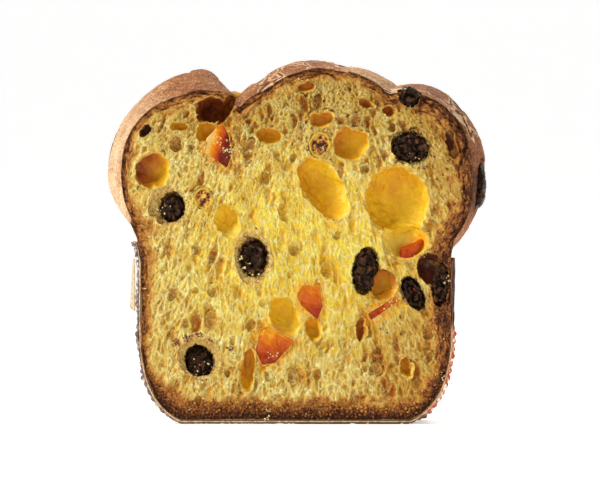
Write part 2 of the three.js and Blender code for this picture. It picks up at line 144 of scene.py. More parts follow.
def drift(points, size, salt):
    """Smooth noise from -1 to 1, with bumps of about the given size."""
    scaled = points / size
    base = np.floor(scaled).astype(np.int64)
    part = scaled - base
    part = part * part * (3 - 2 * part)
    total = np.zeros(len(points))
    for corner in np.ndindex(2, 2, 2):
        weight = np.prod(np.where(corner, part, 1 - part), axis=1)
        total += weight * scrambled(base + np.array(corner), salt)
    return 2 * total - 1


def drifts(points, size, salt):
    """Three drifts at once, as a vector for each point."""
    return np.stack([drift(points, size, salt + axis) for axis in range(3)], axis=1)


def bubbles(points, size, salt):
    """For each point: how far it is from the wall of the bubble it lies in, in millimetres, and a number of
    that bubble, from 0 to 1."""
    scaled = points / size
    base = np.floor(scaled).astype(np.int64)
    near = np.full(len(points), 9.0)
    second = np.full(len(points), 9.0)
    name = np.zeros(len(points))
    for offset in np.ndindex(3, 3, 3):
        cell = base + np.array(offset) - 1
        middle = cell + np.stack([scrambled(cell, salt + axis) for axis in range(3)], axis=1)
        away = np.linalg.norm(scaled - middle, axis=1)
        closer = away < near
        second = np.where(closer, near, np.minimum(second, away))
        name = np.where(closer, scrambled(cell, salt + 7), name)
        near = np.where(closer, away, near)
    return (second - near) * size / 2, name


# ---------------------------------------------------------------------------------------------------
# The form of the loaf, as functions of a point
# ---------------------------------------------------------------------------------------------------
def curve_points(start, control, end, count=14):
    """Points of a quadratic curve, without its start."""
    t = np.linspace(0, 1, count)[1:, None]
    start, control, end = (np.array(p, float) for p in (start, control, end))
    return (1 - t) ** 2 * start + 2 * t * (1 - t) * control + t**2 * end


def wall_line():
    """The outline of the lower part on the right, from the middle of the base to its brow."""
    middle = (WALL_TOP + BROW[1]) / 2
    return np.concatenate([
        [(0, FLOOR), (BASE_HALF, FLOOR)],
        curve_points((BASE_HALF, FLOOR), CORNER, (WALL_HALF, WALL_START)),
        [(WALL_HALF, WALL_TOP)],
        curve_points((WALL_HALF, WALL_TOP), (WALL_HALF, middle), BROW),
    ])


def distance_to_line(points, line):
    """The shortest distance from each point to a line of straight stretches."""
    nearest = np.full(len(points), 1e9)
    for start, end in zip(line[:-1], line[1:]):
        along = end - start
        t = np.clip((points - start) @ along / (along @ along), 0, 1)[:, None]
        nearest = np.minimum(nearest, np.linalg.norm(points - start - t * along, axis=1))
    return nearest


def within_lobe(points, name):
    """How far each point lies inside a lobe's baked surface."""
    x, y, z = points.T
    flared = 1 - (1 - np.clip((y - FRONT) / THICKNESS, 0, 1)) ** FLARE_POWER
    front, back = LOBES[name]
    mid_x, mid_z, left, right, down, up = (mixed(f, b, flared) for f, b in zip(front, back))
    dx, dz = x - mid_x, z - mid_z
    across = np.where(dx < 0, left, right)
    high = np.where(dz < 0, down, up)
    angle = np.arctan2(dz / high, dx / across)
    swell = 1 + UNEVEN * np.sin(UNEVEN_WAVES * angle + UNEVEN_DRIFT * y + front[0])
    for lobe, start, end, lift in PLATES:
        if lobe == name:
            t = (np.degrees(angle) - start) / (end - start)
            broken = smooth(-0.03, 0.01, t) * smooth(1.03, 0.99, t)
            swell += broken * lift / front[5] * np.sin(np.pi * mixed(PLATE_EDGE, 1 - PLATE_EDGE, t))
    reach = np.hypot(dx / across, dz / high)
    slope = np.maximum(np.hypot(dx / across**2, dz / high**2), 1e-6)
    return (swell - reach) * reach / slope


def under_crust(points):
    """How far each point lies inside the baked outline at its own depth."""
    x, _, z = points.T
    folded = np.stack([np.abs(x), z], axis=1)
    line = wall_line()
    deepest = distance_to_line(folded, np.concatenate([line, [(0, WAIST_TOP)]]))
    upward = line[line[:, 1] > FLOOR]
    widest = np.interp(z, upward[:, 1], upward[:, 0])
    beyond = (folded[:, 0] > widest) & (z > FLOOR + 1)
    deepest = np.where(beyond, -deepest, deepest)
    deepest = np.where(z > BROW[1], -1.0, deepest)
    for name in LOBES:
        deepest = np.maximum(deepest, within_lobe(points, name))
    return deepest


def all_hollows():
    """Every hollow as (middle, half sizes, lean in radians, brownness, how much browner its left is as
    painted shade).
    """
    found = []
    for x, z, across, up, deep, lean, brown, painted_left_shade in HOLLOWS:
        found.append(((x, FRONT, z), (across, deep, up), math.radians(lean), brown, painted_left_shade))
    for x, z, across, up, deep, lean, brown, painted_left_shade in HOLLOWS[BACK_HOLLOWS]:
        half = tuple(BACK_HOLLOW_SCALE * size for size in (across, deep, up))
        middle = (-x * BACK_HOLLOW_SCALE, BACK, z - BACK_HOLLOW_DROP)
        found.append((middle, half, math.radians(-lean), brown, -painted_left_shade))
    return found


def into_hollow(points, middle, half, lean):
    """Points in a hollow's own frame, where its wall is the unit sphere."""
    x, y, z = (points - np.array(middle)).T
    across = x * math.cos(lean) + z * math.sin(lean)
    up = -x * math.sin(lean) + z * math.cos(lean)
    return np.stack([across, y, up], axis=1) / np.array(half)


def out_of_hollow(local, middle, half, lean):
    across, y, up = (local * np.array(half)).T
    x = across * math.cos(lean) - up * math.sin(lean)
    z = across * math.sin(lean) + up * math.cos(lean)
    return np.stack([x, y, z], axis=1) + np.array(middle)


def box_of(node):
    """The middle and the half sizes of a CAD node's box."""
    low, high = (np.array(corner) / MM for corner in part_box(node))
    return (low + high) / 2, (high - low) / 2


def nodes_like(word):
    return [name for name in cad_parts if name.startswith(word)]


def away_from(points, nodes, reach):
    """How far each point is from the closest of these CAD nodes, or this reach where that is less."""
    away = np.full(len(points), float(reach))
    for node in nodes:
        middle, half = box_of(node)
        close = np.flatnonzero(np.all(np.abs(points - middle) < half + reach, axis=1))
        work = bmesh.new()
        work.from_mesh(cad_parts[node].data)
        tree = BVHTree.FromBMesh(work)
        work.free()
        for index in close:
            found = tree.find_nearest(Vector(points[index] * MM), reach * MM)[3]
            if found is not None:
                away[index] = min(away[index], found / MM)
    return away


def closeness(points, word, near, far):
    """1 within the near reach of the closest piece of a kind, 0 past the far reach, in half sizes."""
    share = np.zeros(len(points))
    for node in nodes_like(word):
        middle, half = box_of(node)
        reach = np.linalg.norm((points - middle) / half, axis=1)
        share = np.maximum(share, smooth(far, near, reach))
    return share


# ---------------------------------------------------------------------------------------------------
# Meshes as arrays, in millimetres
# ---------------------------------------------------------------------------------------------------
def place_of(mesh):
    points = np.empty(len(mesh.vertices) * 3, np.float32)
    mesh.vertices.foreach_get("co", points)
    return points.reshape(-1, 3).astype(float) / MM


def put_place(mesh, points):
    mesh.vertices.foreach_set("co", (points * MM).astype(np.float32).ravel())
    mesh.update()


def normals_of(mesh):
    normals = np.empty(len(mesh.vertices) * 3, np.float32)
    mesh.vertices.foreach_get("normal", normals)
    return normals.reshape(-1, 3).astype(float)


def edges_of(mesh):
    edges = np.empty(len(mesh.edges) * 2, np.int32)
    mesh.edges.foreach_get("vertices", edges)
    return edges.reshape(-1, 2)


def relaxed(values, edges, rounds, share=0.5):
    """Values of each vertex drawn towards the mean of their neighbours. Share may differ by vertex."""
    one, other = edges.T
    count = len(values)
    neighbours = np.bincount(one, minlength=count) + np.bincount(other, minlength=count)
    neighbours = np.maximum(neighbours, 1)
    values = values.copy()
    columns = values.reshape(count, -1)
    for _ in range(rounds):
        for column in columns.T:
            total = np.bincount(one, column[other], count) + np.bincount(other, column[one], count)
            column += share * (total / neighbours - column)
    return values


def put_attribute(mesh, name, values):
    attribute = mesh.attributes.new(name, "FLOAT", "POINT")
    attribute.data.foreach_set("value", values.astype(np.float32))


def put_directions(mesh, name, values):
    attribute = mesh.attributes.new(name, "FLOAT_VECTOR", "POINT")
    attribute.data.foreach_set("vector", values.astype(np.float32).ravel())


def piece_from(mesh, name, material, slot, *nodes):
    """A piece of the object, kept between the two cuts, which rides on the slice's one body and stands for
    CAD nodes."""
    points = place_of(mesh)
    points[:, 1] = np.clip(points[:, 1], FRONT, BACK)
    put_place(mesh, points)
    piece = bpy.data.objects.new(name, mesh)
    bpy.context.scene.collection.objects.link(piece)
    mesh.materials.clear()
    mesh.materials.append(material)
    mesh.shade_smooth()
    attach(piece, "root")
    if nodes:
        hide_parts(*nodes)
    return piece


def finished_mesh(source, *modifiers):
    """The mesh that a scratch object has after its modifiers, each given as (type, settings)."""
    scratch = bpy.data.objects.new("scratch", source)
    bpy.context.scene.collection.objects.link(scratch)
    for kind, settings in modifiers:
        modifier = scratch.modifiers.new(kind.title(), kind)
        for key, value in settings.items():
            setattr(modifier, key, value)
    bpy.context.view_layer.update()
    evaluated = scratch.evaluated_get(bpy.context.evaluated_depsgraph_get())
    made = bpy.data.meshes.new_from_object(evaluated)
    bpy.data.objects.remove(scratch)
    return made


def merged_node(name):
    """A copy of a CAD node's mesh with its loose triangles joined."""
    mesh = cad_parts[name].data.copy()
    work = bmesh.new()
    work.from_mesh(mesh)
    bmesh.ops.remove_doubles(work, verts=work.verts, dist=1e-6)
    work.to_mesh(mesh)
    work.free()
    return mesh


def remeshed_node(name, voxel):
    """A copy of a CAD node as an even, fine mesh."""
    size = voxel * 1 * MM
    return finished_mesh(merged_node(name), ("REMESH", {"mode": "VOXEL", "voxel_size": size}))


# ---------------------------------------------------------------------------------------------------
# Materials
# ---------------------------------------------------------------------------------------------------
def colour(red, green, blue):
    """A colour as seen on screen, 0 to 255, in the linear light that materials use."""
    linear = [(c / 255) / 12.92 if c / 255 <= 0.04045 else ((c / 255 + 0.055) / 1.055) ** 2.4
              for c in (red, green, blue)]
    return (*linear, 1.0)


class Finish:
    """A material under construction. Most methods add a node and give back its output socket."""

    def __init__(self, name):
        self.material = bpy.data.materials.new(name)
        self.material.use_nodes = True
        self.tree = self.material.node_tree
        self.shader = self.tree.nodes["Principled BSDF"]

    def feed(self, socket, value):
        if isinstance(value, bpy.types.NodeSocket):
            self.tree.links.new(value, socket)
        else:
            socket.default_value = value

    def node(self, kind, inputs, **settings):
        made = self.tree.nodes.new(kind)
        for key, value in settings.items():
            setattr(made, key, value)
        for key, value in inputs.items():
            self.feed(made.inputs[key], value)
        return made

    def place(self):
        """The point on the object, in millimetres."""
        coordinates = self.node("ShaderNodeTexCoord", {}).outputs["Object"]
        return self.scaled(coordinates, (1 / MM, 1 / MM, 1 / MM))

    def scaled(self, point, sizes):
        return self.node("ShaderNodeMapping", {"Vector": point, "Scale": sizes}).outputs["Vector"]

    def attribute(self, name):
        return self.node("ShaderNodeAttribute", {}, attribute_name=name).outputs["Fac"]

    def directions(self, name):
        return self.node("ShaderNodeAttribute", {}, attribute_name=name).outputs["Vector"]

    def noise(self, size, detail=3.0, roughness=0.55, at=None):
        """Noise from 0 to 1 with bumps of about this many millimetres."""
        made = self.node("ShaderNodeTexNoise", {
            "Vector": at or self.place(), "Scale": 1 / size, "Detail": detail, "Roughness": roughness,
        })
        return made.outputs["Fac"]

    def swayed(self, point, size, amount):
        """A point moved about by noise, by up to half of this amount."""
        noise = self.node("ShaderNodeTexNoise", {"Vector": point, "Scale": 1 / size, "Detail": 2.0})
        centred = self.node("ShaderNodeVectorMath", {0: noise.outputs["Color"], 1: (0.5, 0.5, 0.5)},
                            operation="SUBTRACT").outputs[0]
        moved = self.node("ShaderNodeVectorMath", {0: centred, "Scale": amount},
                          operation="SCALE").outputs[0]
        return self.node("ShaderNodeVectorMath", {0: point, 1: moved}, operation="ADD").outputs[0]

    def cells(self, size, feature="F1", at=None):
        """The distance from the middle or the edge of cells of about this many mm, in cell sizes."""
        made = self.node("ShaderNodeTexVoronoi", {"Vector": at or self.place(), "Scale": 1 / size},
                         feature=feature)
        return made.outputs["Distance"]

    def math(self, operation, one, other=0.0):
        return self.node("ShaderNodeMath", {0: one, 1: other}, operation=operation).outputs[0]

    def spread(self, value, low, high, to_low=0.0, to_high=1.0):
        """A value's range stretched to another range, and kept inside it."""
        made = self.node("ShaderNodeMapRange", {
            "Value": value, "From Min": low, "From Max": high, "To Min": to_low, "To Max": to_high,
        })
        return made.outputs["Result"]

    def varied(self, value, noise, amount):
        """A value with noise added to either side of it."""
        return self.math("ADD", value, self.spread(noise, 0.3, 0.7, -amount, amount))

    def blend(self, share, one, other, mode="MIX"):
        made = self.node("ShaderNodeMix", {0: share, 6: one, 7: other}, data_type="RGBA", blend_type=mode)
        return made.outputs[2]

    def ramp(self, value, *stops):
        """Colours along a value: each stop is (place, colour)."""
        made = self.node("ShaderNodeValToRGB", {"Fac": value})
        stripe = made.color_ramp.elements
        while len(stripe) < len(stops):
            stripe.new(0.5)
        for element, (at, shade) in zip(stripe, stops):
            element.position = at
            element.color = shade
        return made.outputs["Color"]

    def high_on_the_right(self, grain):
        """The part of the case's right side that is baked onto the loaf, with an uneven lower edge."""
        pieces = self.node("ShaderNodeSeparateXYZ", {"Vector": self.place()})
        high = self.varied(self.spread(pieces.outputs["Z"], PAPER_STUCK, PAPER_STUCK + 5), grain, 0.3)
        return self.math("MULTIPLY", high, self.spread(pieces.outputs["X"], -1.0, 1.0))

    def relief(self, height, depth):
        """Bumps of this depth in millimetres."""
        inputs = {"Height": height, "Distance": depth * MM, "Strength": 1.0}
        return self.node("ShaderNodeBump", inputs).outputs["Normal"]

    def done(self, inputs):
        """Sets the shader's own sockets, by name, to values or to other nodes' sockets."""
        for name, value in inputs.items():
            self.feed(self.shader.inputs[name], value)
        return self.material


def string_share(made, pit):
    """How much each point belongs to the pale strings between the bubbles, from 0 to 1: the crumb's thin
    walls, paler partly as painted highlight on their edges.
    """
    rise = made.directions("rise")
    swayed = made.swayed(made.swayed(rise, 2.0, 1.0), 0.7, 0.4)
    torn = made.spread(made.noise(1.8, detail=2), 0.42, 0.58, 0.15, 1.0)
    web = made.spread(made.cells(1.5, "DISTANCE_TO_EDGE", swayed), 0.13, 0.05)
    fine_web = made.spread(made.cells(0.85, "DISTANCE_TO_EDGE", swayed), 0.15, 0.05, 0.0, 0.7)
    ridge = made.noise(0.5, detail=2, at=made.scaled(swayed, (1, 1, 0.45)))
    off_ridge = made.math("ABSOLUTE", made.math("SUBTRACT", ridge, 0.5))
    fibre = made.spread(off_ridge, 0.03, 0.005, 0.0, 0.85)
    string = made.math("MAXIMUM", made.math("MAXIMUM", web, fine_web), fibre)
    return made.math("MULTIPLY", made.math("MULTIPLY", string, torn), made.spread(pit, 0.75, 0.4))


def open_crumb(made, pit, string):
    """Yellow crumb: golden in the middle with painted light coming through, painted darker down its pits as
    shade, and pale along its strings, partly as painted highlight.
    """
    # Painted shade: both ramps darken as the pit value, how deep the crumb's pits look, rises.
    pale = made.ramp(
        pit, (0.0, colour(226, 208, 126)), (0.14, colour(216, 184, 80)), (0.3, colour(202, 152, 46)),
        (0.6, colour(184, 112, 32)), (1.0, colour(152, 68, 24)))
    golden = made.ramp(
        pit, (0.0, colour(238, 220, 92)), (0.14, colour(238, 208, 44)), (0.3, colour(236, 196, 20)),
        (0.6, colour(234, 178, 8)), (1.0, colour(218, 144, 6)))
    painted_glow = made.varied(made.attribute("painted_glow"), made.noise(6.0, detail=2), 0.3)
    # Painted light: the crumb turns golden where light is painted as coming through it.
    crumb = made.blend(made.spread(painted_glow, 0.1, 0.85), pale, golden)
    rusty = made.ramp(pit, (0.3, colour(210, 160, 70)), (0.8, colour(176, 92, 30)))
    crumb = made.blend(made.attribute("rusty"), crumb, rusty)
    # Painted highlight, partly: the strings take a pale cream colour.
    crumb = made.blend(made.math("MULTIPLY", string, 0.9), crumb, colour(241, 231, 160))
    # Painted shade: the crumb is dulled towards the right and the top.
    dusk = made.blend(made.attribute("dusk"), (1, 1, 1, 1), colour(224, 200, 166))
    crumb = made.blend(1.0, crumb, dusk, "MULTIPLY")
    patches = made.ramp(
        made.noise(7.0, detail=3), (0.38, colour(240, 224, 190)), (0.58, colour(255, 255, 255)))
    return made.blend(1.0, crumb, patches, "MULTIPLY")


def with_hollows(made, crumb):
    """Crumb with the smooth walls of its hollows, from gold to dark brown with painted shade towards their
    tops and left sides, and their pale lips.
    """
    brown = made.varied(made.attribute("brown"), made.noise(5.0, detail=2), 0.10)
    brown = made.varied(brown, made.noise(0.8, detail=2), 0.02)
    hollow = made.ramp(
        brown, (0.0, colour(246, 222, 96)), (0.15, colour(234, 192, 36)), (0.3, colour(222, 166, 24)),
        (0.55, colour(190, 114, 36)), (0.8, colour(138, 64, 30)), (1.0, colour(78, 34, 20)))
    ragged = made.varied(made.attribute("wall"), made.noise(0.9, detail=3), 0.35)
    crumb = made.blend(made.spread(ragged, 0.35, 0.65), crumb, hollow)
    broken = made.spread(made.noise(1.4), 0.35, 0.6, 0.2, 0.9)
    return made.blend(made.math("MULTIPLY", made.attribute("lip"), broken), crumb, colour(238, 206, 106))


def with_fruit_marks(made, crumb):
    """Crumb that is orange beside the peel, and smeared and stained dark round the raisins."""
    candied = made.varied(made.attribute("candied"), made.noise(2.0), 0.25)
    crumb = made.blend(made.spread(candied, 0.25, 1.0, 0.0, 0.6), crumb, colour(232, 152, 26))
    grime = made.noise(0.9, detail=4, roughness=0.7)
    grimy = made.ramp(
        grime, (0.36, colour(138, 78, 34)), (0.48, colour(220, 172, 88)), (0.62, colour(246, 226, 160)))
    smear = made.varied(made.attribute("smear"), made.noise(1.6, detail=4, roughness=0.65), 0.30)
    crumb = made.blend(made.spread(smear, 0.3, 0.8, 0.0, 0.65), crumb, grimy)
    stain = made.varied(made.attribute("stain"), made.noise(1.0, detail=4, roughness=0.7), 0.42)
    return made.blend(made.spread(stain, 0.55, 0.9, 0.0, 0.9), crumb, colour(84, 44, 30))


def crust_grain(made):
    """The roughness of the crust's cut edge: streaks along the outline, and grains at the bottom."""
    grainy = made.attribute("grainy")
    along = made.scaled(made.directions("band"), (0.6, 0.7, 1))
    streak = made.noise(0.6, detail=4, roughness=0.75, at=along)
    grain = made.noise(0.8, detail=4, roughness=0.75)
    return made.math("ADD", made.math("MULTIPLY", grain, grainy),
                     made.math("MULTIPLY", streak, made.math("SUBTRACT", 1.0, grainy)))


def with_cut_crust(made, crumb, grain):
    """Crumb that browns into the crust's cut edge."""
    thread = made.spread(grain, 0.40, 0.60, 0.24, -0.24)
    # Painted shade and highlight: the band is browner down the grooves of the cut edge's relief and paler on
    # its raised threads.
    thread = made.math("ADD", thread, made.spread(made.attribute("thread"), 0.2, 0.9, 0.16, -0.16))
    bake = made.varied(made.attribute("bake"), made.noise(2.4, detail=4), 0.12)
    baked_dark = made.math("ADD", bake, made.math("MULTIPLY", thread, made.spread(bake, 0.1, 0.5)))
    band = made.ramp(
        baked_dark, (0.10, colour(216, 172, 88)), (0.36, colour(196, 140, 60)), (0.62, colour(162, 100, 44)),
        (0.85, colour(114, 64, 30)), (1.0, colour(62, 32, 18)))
    return made.blend(made.spread(bake, 0.05, 0.34), crumb, band)


def outer_crust(made):
    """The oven's skin of the loaf, finely pored, from tan to nearly black; part of that is painted light and
    shade from toast_and_light.
    """
    pored = made.noise(0.9, detail=4, roughness=0.8, at=made.scaled(made.place(), (1, 0.4, 1)))
    toast_and_light = made.varied(made.attribute("toast_and_light"), pored, 0.30)
    toast_and_light = made.varied(toast_and_light, made.noise(7.0, detail=4), 0.12)
    return made.ramp(
        toast_and_light, (0.0, colour(228, 202, 166)), (0.3, colour(202, 164, 124)), (0.6, colour(160, 100, 56)),
        (0.85, colour(100, 56, 34)), (1.0, colour(50, 30, 22)))


def crumb_finish():
    """Open yellow crumb that browns towards the outline, the smooth walls of its hollows, and its crust."""
    made = Finish("baked crumb and crust")
    pit = made.varied(made.attribute("pit"), made.noise(0.8, detail=4), 0.08)
    string = string_share(made, pit)
    grain = crust_grain(made)
    crumb = with_fruit_marks(made, with_hollows(made, open_crumb(made, pit, string)))
    on_skin = made.attribute("skin")
    base = made.blend(on_skin, with_cut_crust(made, crumb, grain), outer_crust(made))

    rough = made.math("ADD", made.noise(0.35, detail=3), made.math("MULTIPLY", grain, 1.5))
    stringy = made.math("MULTIPLY", string, made.spread(on_skin, 0.0, 0.5, 1.6, 0.0))
    on_crumb = made.spread(made.attribute("wall"), 0.4, 1.0, 1.0, 0.25)
    height = made.math("MULTIPLY", made.math("ADD", rough, stringy), on_crumb)
    return made.done({
        "Base Color": base, "Normal": made.relief(height, 0.18),
        "Roughness": made.spread(made.attribute("wall"), 0.4, 1.0, 0.8, 0.4),
        "Specular IOR Level": 0.2, "Subsurface Weight": 0.1, "Subsurface Scale": 0.0006,
        "Subsurface Radius": (1.0, 0.6, 0.25),
    })


def raisin_finish():
    """Near-black wrinkled fruit, darkest in its creases as painted shade, purple-brown on its lumps partly
    as painted highlight, and red where light is painted as coming through.
    """
    made = Finish("dark raisin")
    lump = made.varied(made.attribute("lump"), made.noise(1.1, detail=4), 0.3)
    # Painted shade and highlight: darkest in the creases, browner on the lumps' tops.
    lump_shade_and_highlight = made.ramp(
        lump, (0.0, colour(10, 5, 3)), (0.4, colour(38, 19, 11)), (0.75, colour(74, 40, 23)),
        (1.0, colour(124, 76, 46)))
    # Painted light: red along the lumps' edges, as if light came through them.
    thin = made.math("MULTIPLY", made.noise(1.3, detail=2), made.attribute("edge"))
    painted_red_glow = made.spread(thin, 0.58, 0.70)
    base = made.blend(painted_red_glow, lump_shade_and_highlight, colour(150, 56, 20))
    wet = made.spread(made.noise(1.5, detail=2), 0.4, 0.6, 0.15, 0.6)
    height = made.math("ADD", made.noise(0.6, detail=4), made.noise(0.25, detail=2))
    return made.done({
        "Base Color": base, "Roughness": wet, "Normal": made.relief(height, 0.25),
        "Specular IOR Level": 0.3, "Specular Tint": colour(255, 224, 190),
    })


def torn_raisin_finish():
    """What is left of a raisin that the knife tore out: its skin in shreds, fading into crumb at its rim."""
    made = Finish("torn raisin")
    shred = made.noise(2.0, detail=4, roughness=0.7)
    base = made.ramp(
        shred, (0.44, colour(50, 24, 20)), (0.49, colour(116, 56, 32)), (0.53, colour(200, 132, 46)),
        (0.6, colour(214, 168, 62)), (0.68, colour(232, 212, 140)))
    base = made.blend(made.varied(made.attribute("worn"), shred, 0.4), base, colour(208, 164, 54))
    return made.done({
        "Base Color": base, "Roughness": 0.6, "Normal": made.relief(shred, -0.4), "Specular IOR Level": 0.2,
    })


def peel_finish():
    """Clear candied peel, from yellow-orange at one end of each block to deep red at the other."""
    made = Finish("candied peel")
    ripe = made.varied(made.attribute("ripe"), made.noise(2.4, detail=3), 0.14)
    base = made.ramp(
        ripe, (0.0, colour(216, 174, 100)), (0.12, colour(226, 156, 6)), (0.3, colour(210, 116, 0)),
        (0.55, colour(188, 80, 0)), (0.8, colour(156, 42, 0)), (1.0, colour(104, 26, 6)))
    sugar = made.spread(made.noise(0.8, detail=4, roughness=0.7), 0.62, 0.74)
    base = made.blend(made.math("MULTIPLY", sugar, 0.3), base, colour(232, 170, 70))
    height = made.math("ADD", made.noise(1.6, detail=2), made.math("MULTIPLY", sugar, 0.2))
    return made.done({
        "Base Color": base, "Normal": made.relief(height, 0.6), "Roughness": 0.25,
        "Specular IOR Level": 0.2, "Coat Weight": 0.1, "Coat Roughness": 0.06,
        "Subsurface Weight": 0.35, "Subsurface Scale": 0.0015, "Subsurface Radius": (1.0, 0.35, 0.05),
    })


def liner_finish():
    """Pale greased paper, dark where the crust of the right side has baked onto it."""
    made = Finish("greased liner paper")
    fibre = made.noise(1.2, detail=4)
    clean = made.ramp(
        fibre, (0.3, colour(140, 98, 60)), (0.5, colour(200, 162, 112)), (0.7, colour(230, 206, 164)))
    stained = made.ramp(fibre, (0.3, colour(52, 30, 22)), (0.6, colour(104, 66, 42)))
    base = made.blend(made.high_on_the_right(fibre), clean, stained)
    return made.done({"Base Color": base, "Normal": made.relief(fibre, 0.05), "Roughness": 0.7})


def ridged_finish():
    """Ridged paper in plain fields of violet-grey, brown and red, strewn with pale specks that are painted
    glints.
    """
    made = Finish("printed ridged paper")
    grain = made.noise(0.9, detail=4)
    left = made.ramp(
        grain, (0.3, colour(70, 50, 50)), (0.45, colour(122, 100, 102)), (0.56, colour(158, 138, 138)),
        (0.66, colour(226, 214, 200)))
    brown = made.ramp(grain, (0.3, colour(40, 24, 18)), (0.7, colour(84, 50, 36)))
    red = made.ramp(
        grain, (0.3, colour(140, 44, 28)), (0.5, colour(190, 76, 48)), (0.64, colour(228, 196, 176)))
    high = made.high_on_the_right(grain)
    pieces = made.node("ShaderNodeSeparateXYZ", {"Vector": made.place()})
    low = made.spread(pieces.outputs["Z"], 4.5, 2.5)
    right = made.blend(made.math("MAXIMUM", high, low), red, brown)
    print_colour = made.blend(made.spread(pieces.outputs["X"], -1.0, 1.0), left, right)
    # Painted highlight: pale specks as glints on the ridges, fewer where the paper is baked flat.
    painted_glints = made.spread(made.cells(2.2), 0.30, 0.22)
    painted_glints = made.math("MULTIPLY", painted_glints, made.spread(high, 0.0, 0.5, 0.9, 0.2))
    base = made.blend(painted_glints, print_colour, colour(236, 228, 212))
    return made.done({"Base Color": base, "Normal": made.relief(grain, 0.05), "Roughness": 0.6})


def strewn_finish(name, dark, light):
    """Small torn bits, mottled between two colours."""
    made = Finish(name)
    base = made.ramp(made.noise(1.0, detail=3), (0.35, dark), (0.65, light))
    return made.done({
        "Base Color": base, "Roughness": 0.7, "Normal": made.relief(made.noise(0.3), 0.06),
        "Subsurface Weight": 0.2, "Subsurface Scale": 0.001,
    })


# ---------------------------------------------------------------------------------------------------
# The loaf: crumb and crust
# ---------------------------------------------------------------------------------------------------
CRUMB_VOXEL = 0.30
PIECE_TRIANGLES = 192_000
FAN_APEX = 200.0  # height of the point from which the bubbles fan out as the dough rose
FAN_RADIUS = 135.0
SEAMS = (-19.0, 18.0)  # x at which the front half is parted


def risen(points):
    """Points in a frame where the bubbles, drawn out in a fan as the dough rose, are round."""
    x, y, z = points.T
    distance = np.hypot(x, FAN_APEX - z)
    lengths = np.arange(0.0, 300.0)
    flattened = np.cumsum(1 / mixed(1.1, 2.8, smooth(92, 138, lengths)))
    across = FAN_RADIUS * np.arctan2(x, FAN_APEX - z)
    return np.stack([across, y, -np.interp(distance, lengths, flattened)], axis=1)


def bowl(wall, width):
    """How open a bubble is, from 0 at its wall to 1 where it is this far from it."""
    return 1 - (1 - np.clip(wall / width, 0, 1)) ** 2


def foam(points):
    """The open crumb's pits: their depth below the cut in millimetres, how deep each point looks from 0 to
    1, which the finish turns into painted shade, and the number of its bubble."""
    flow = risen(points)
    flow += 0.7 * drifts(flow, 2.4, 20) + 0.35 * drifts(flow, 1.0, 24)
    wall, large_name = bubbles(flow, 3.3, 1)
    openness = smooth(0.50, 0.80, large_name + 0.35 * drift(points, 9, 33))
    large = bowl(wall - 0.08, 0.9) * openness
    wall, name = bubbles(flow, 1.4, 5)
    middling = bowl(wall - 0.04, 0.3) * mixed(0.35, 1.0, name)
    wall, name = bubbles(flow, 0.8, 9)
    small = bowl(wall - 0.03, 0.2) * mixed(0.3, 1.0, name)
    depth = 1.5 * large * mixed(0.6, 1.3, large_name) + 0.7 * middling * (1 - 0.4 * large) + 0.35 * small
    looks = 0.46 * large + 0.34 * middling + 0.20 * small
    return depth, looks, large_name


def baked(points, inside):
    """How brown the crumb is under its crust, from 0 to 1."""
    x, _, z = points.T
    low = smooth(20, 8, z)
    lobes = smooth(66, 78, z)
    reach = np.interp(x, [-66, -35, -15, 30, 45, 66], [5.5, 5.5, 6.4, 6.4, 7.4, 7.5]) * lobes
    reach += np.interp(x, [-50, 30, 50], [5.4, 5.4, 8.0]) * (1 - lobes)
    reach = mixed(reach, 9.5, low)
    power = mixed(np.interp(x, [-40, 25, 48], [1.25, 1.3, 0.42]), 0.85, low)
    uneven = 1 + 0.34 * drift(points, 7.0, 90) + 0.28 * drift(points, 2.2, 91)
    return (1 - np.clip(inside / (reach * uneven), 0, 1)) ** power


def band_place(points, inside):
    """Points by their way along the outline, their depth and how far they are under the crust."""
    x, y, z = points.T
    return np.stack([58 * np.arctan2(x, z - 55), y, inside], axis=1)


def crust_threads(points, inside):
    """The torn fibres of the crust's cut edge, from 0 to 1: they run along the outline, and are grains at
    the bottom."""
    layers = band_place(points, inside) / (1.9, 1.5, 0.75)
    layered = 0.5 + 0.5 * drift(layers + 0.5 * drifts(points, 1.5, 50), 1.0, 53)
    wall, name = bubbles(points, 1.15, 57)
    grain = smooth(0.0, 0.35, wall) * mixed(0.4, 1.0, name)
    return np.clip(mixed(grain, layered, smooth(9, 22, points[:, 2])), 0, 1)


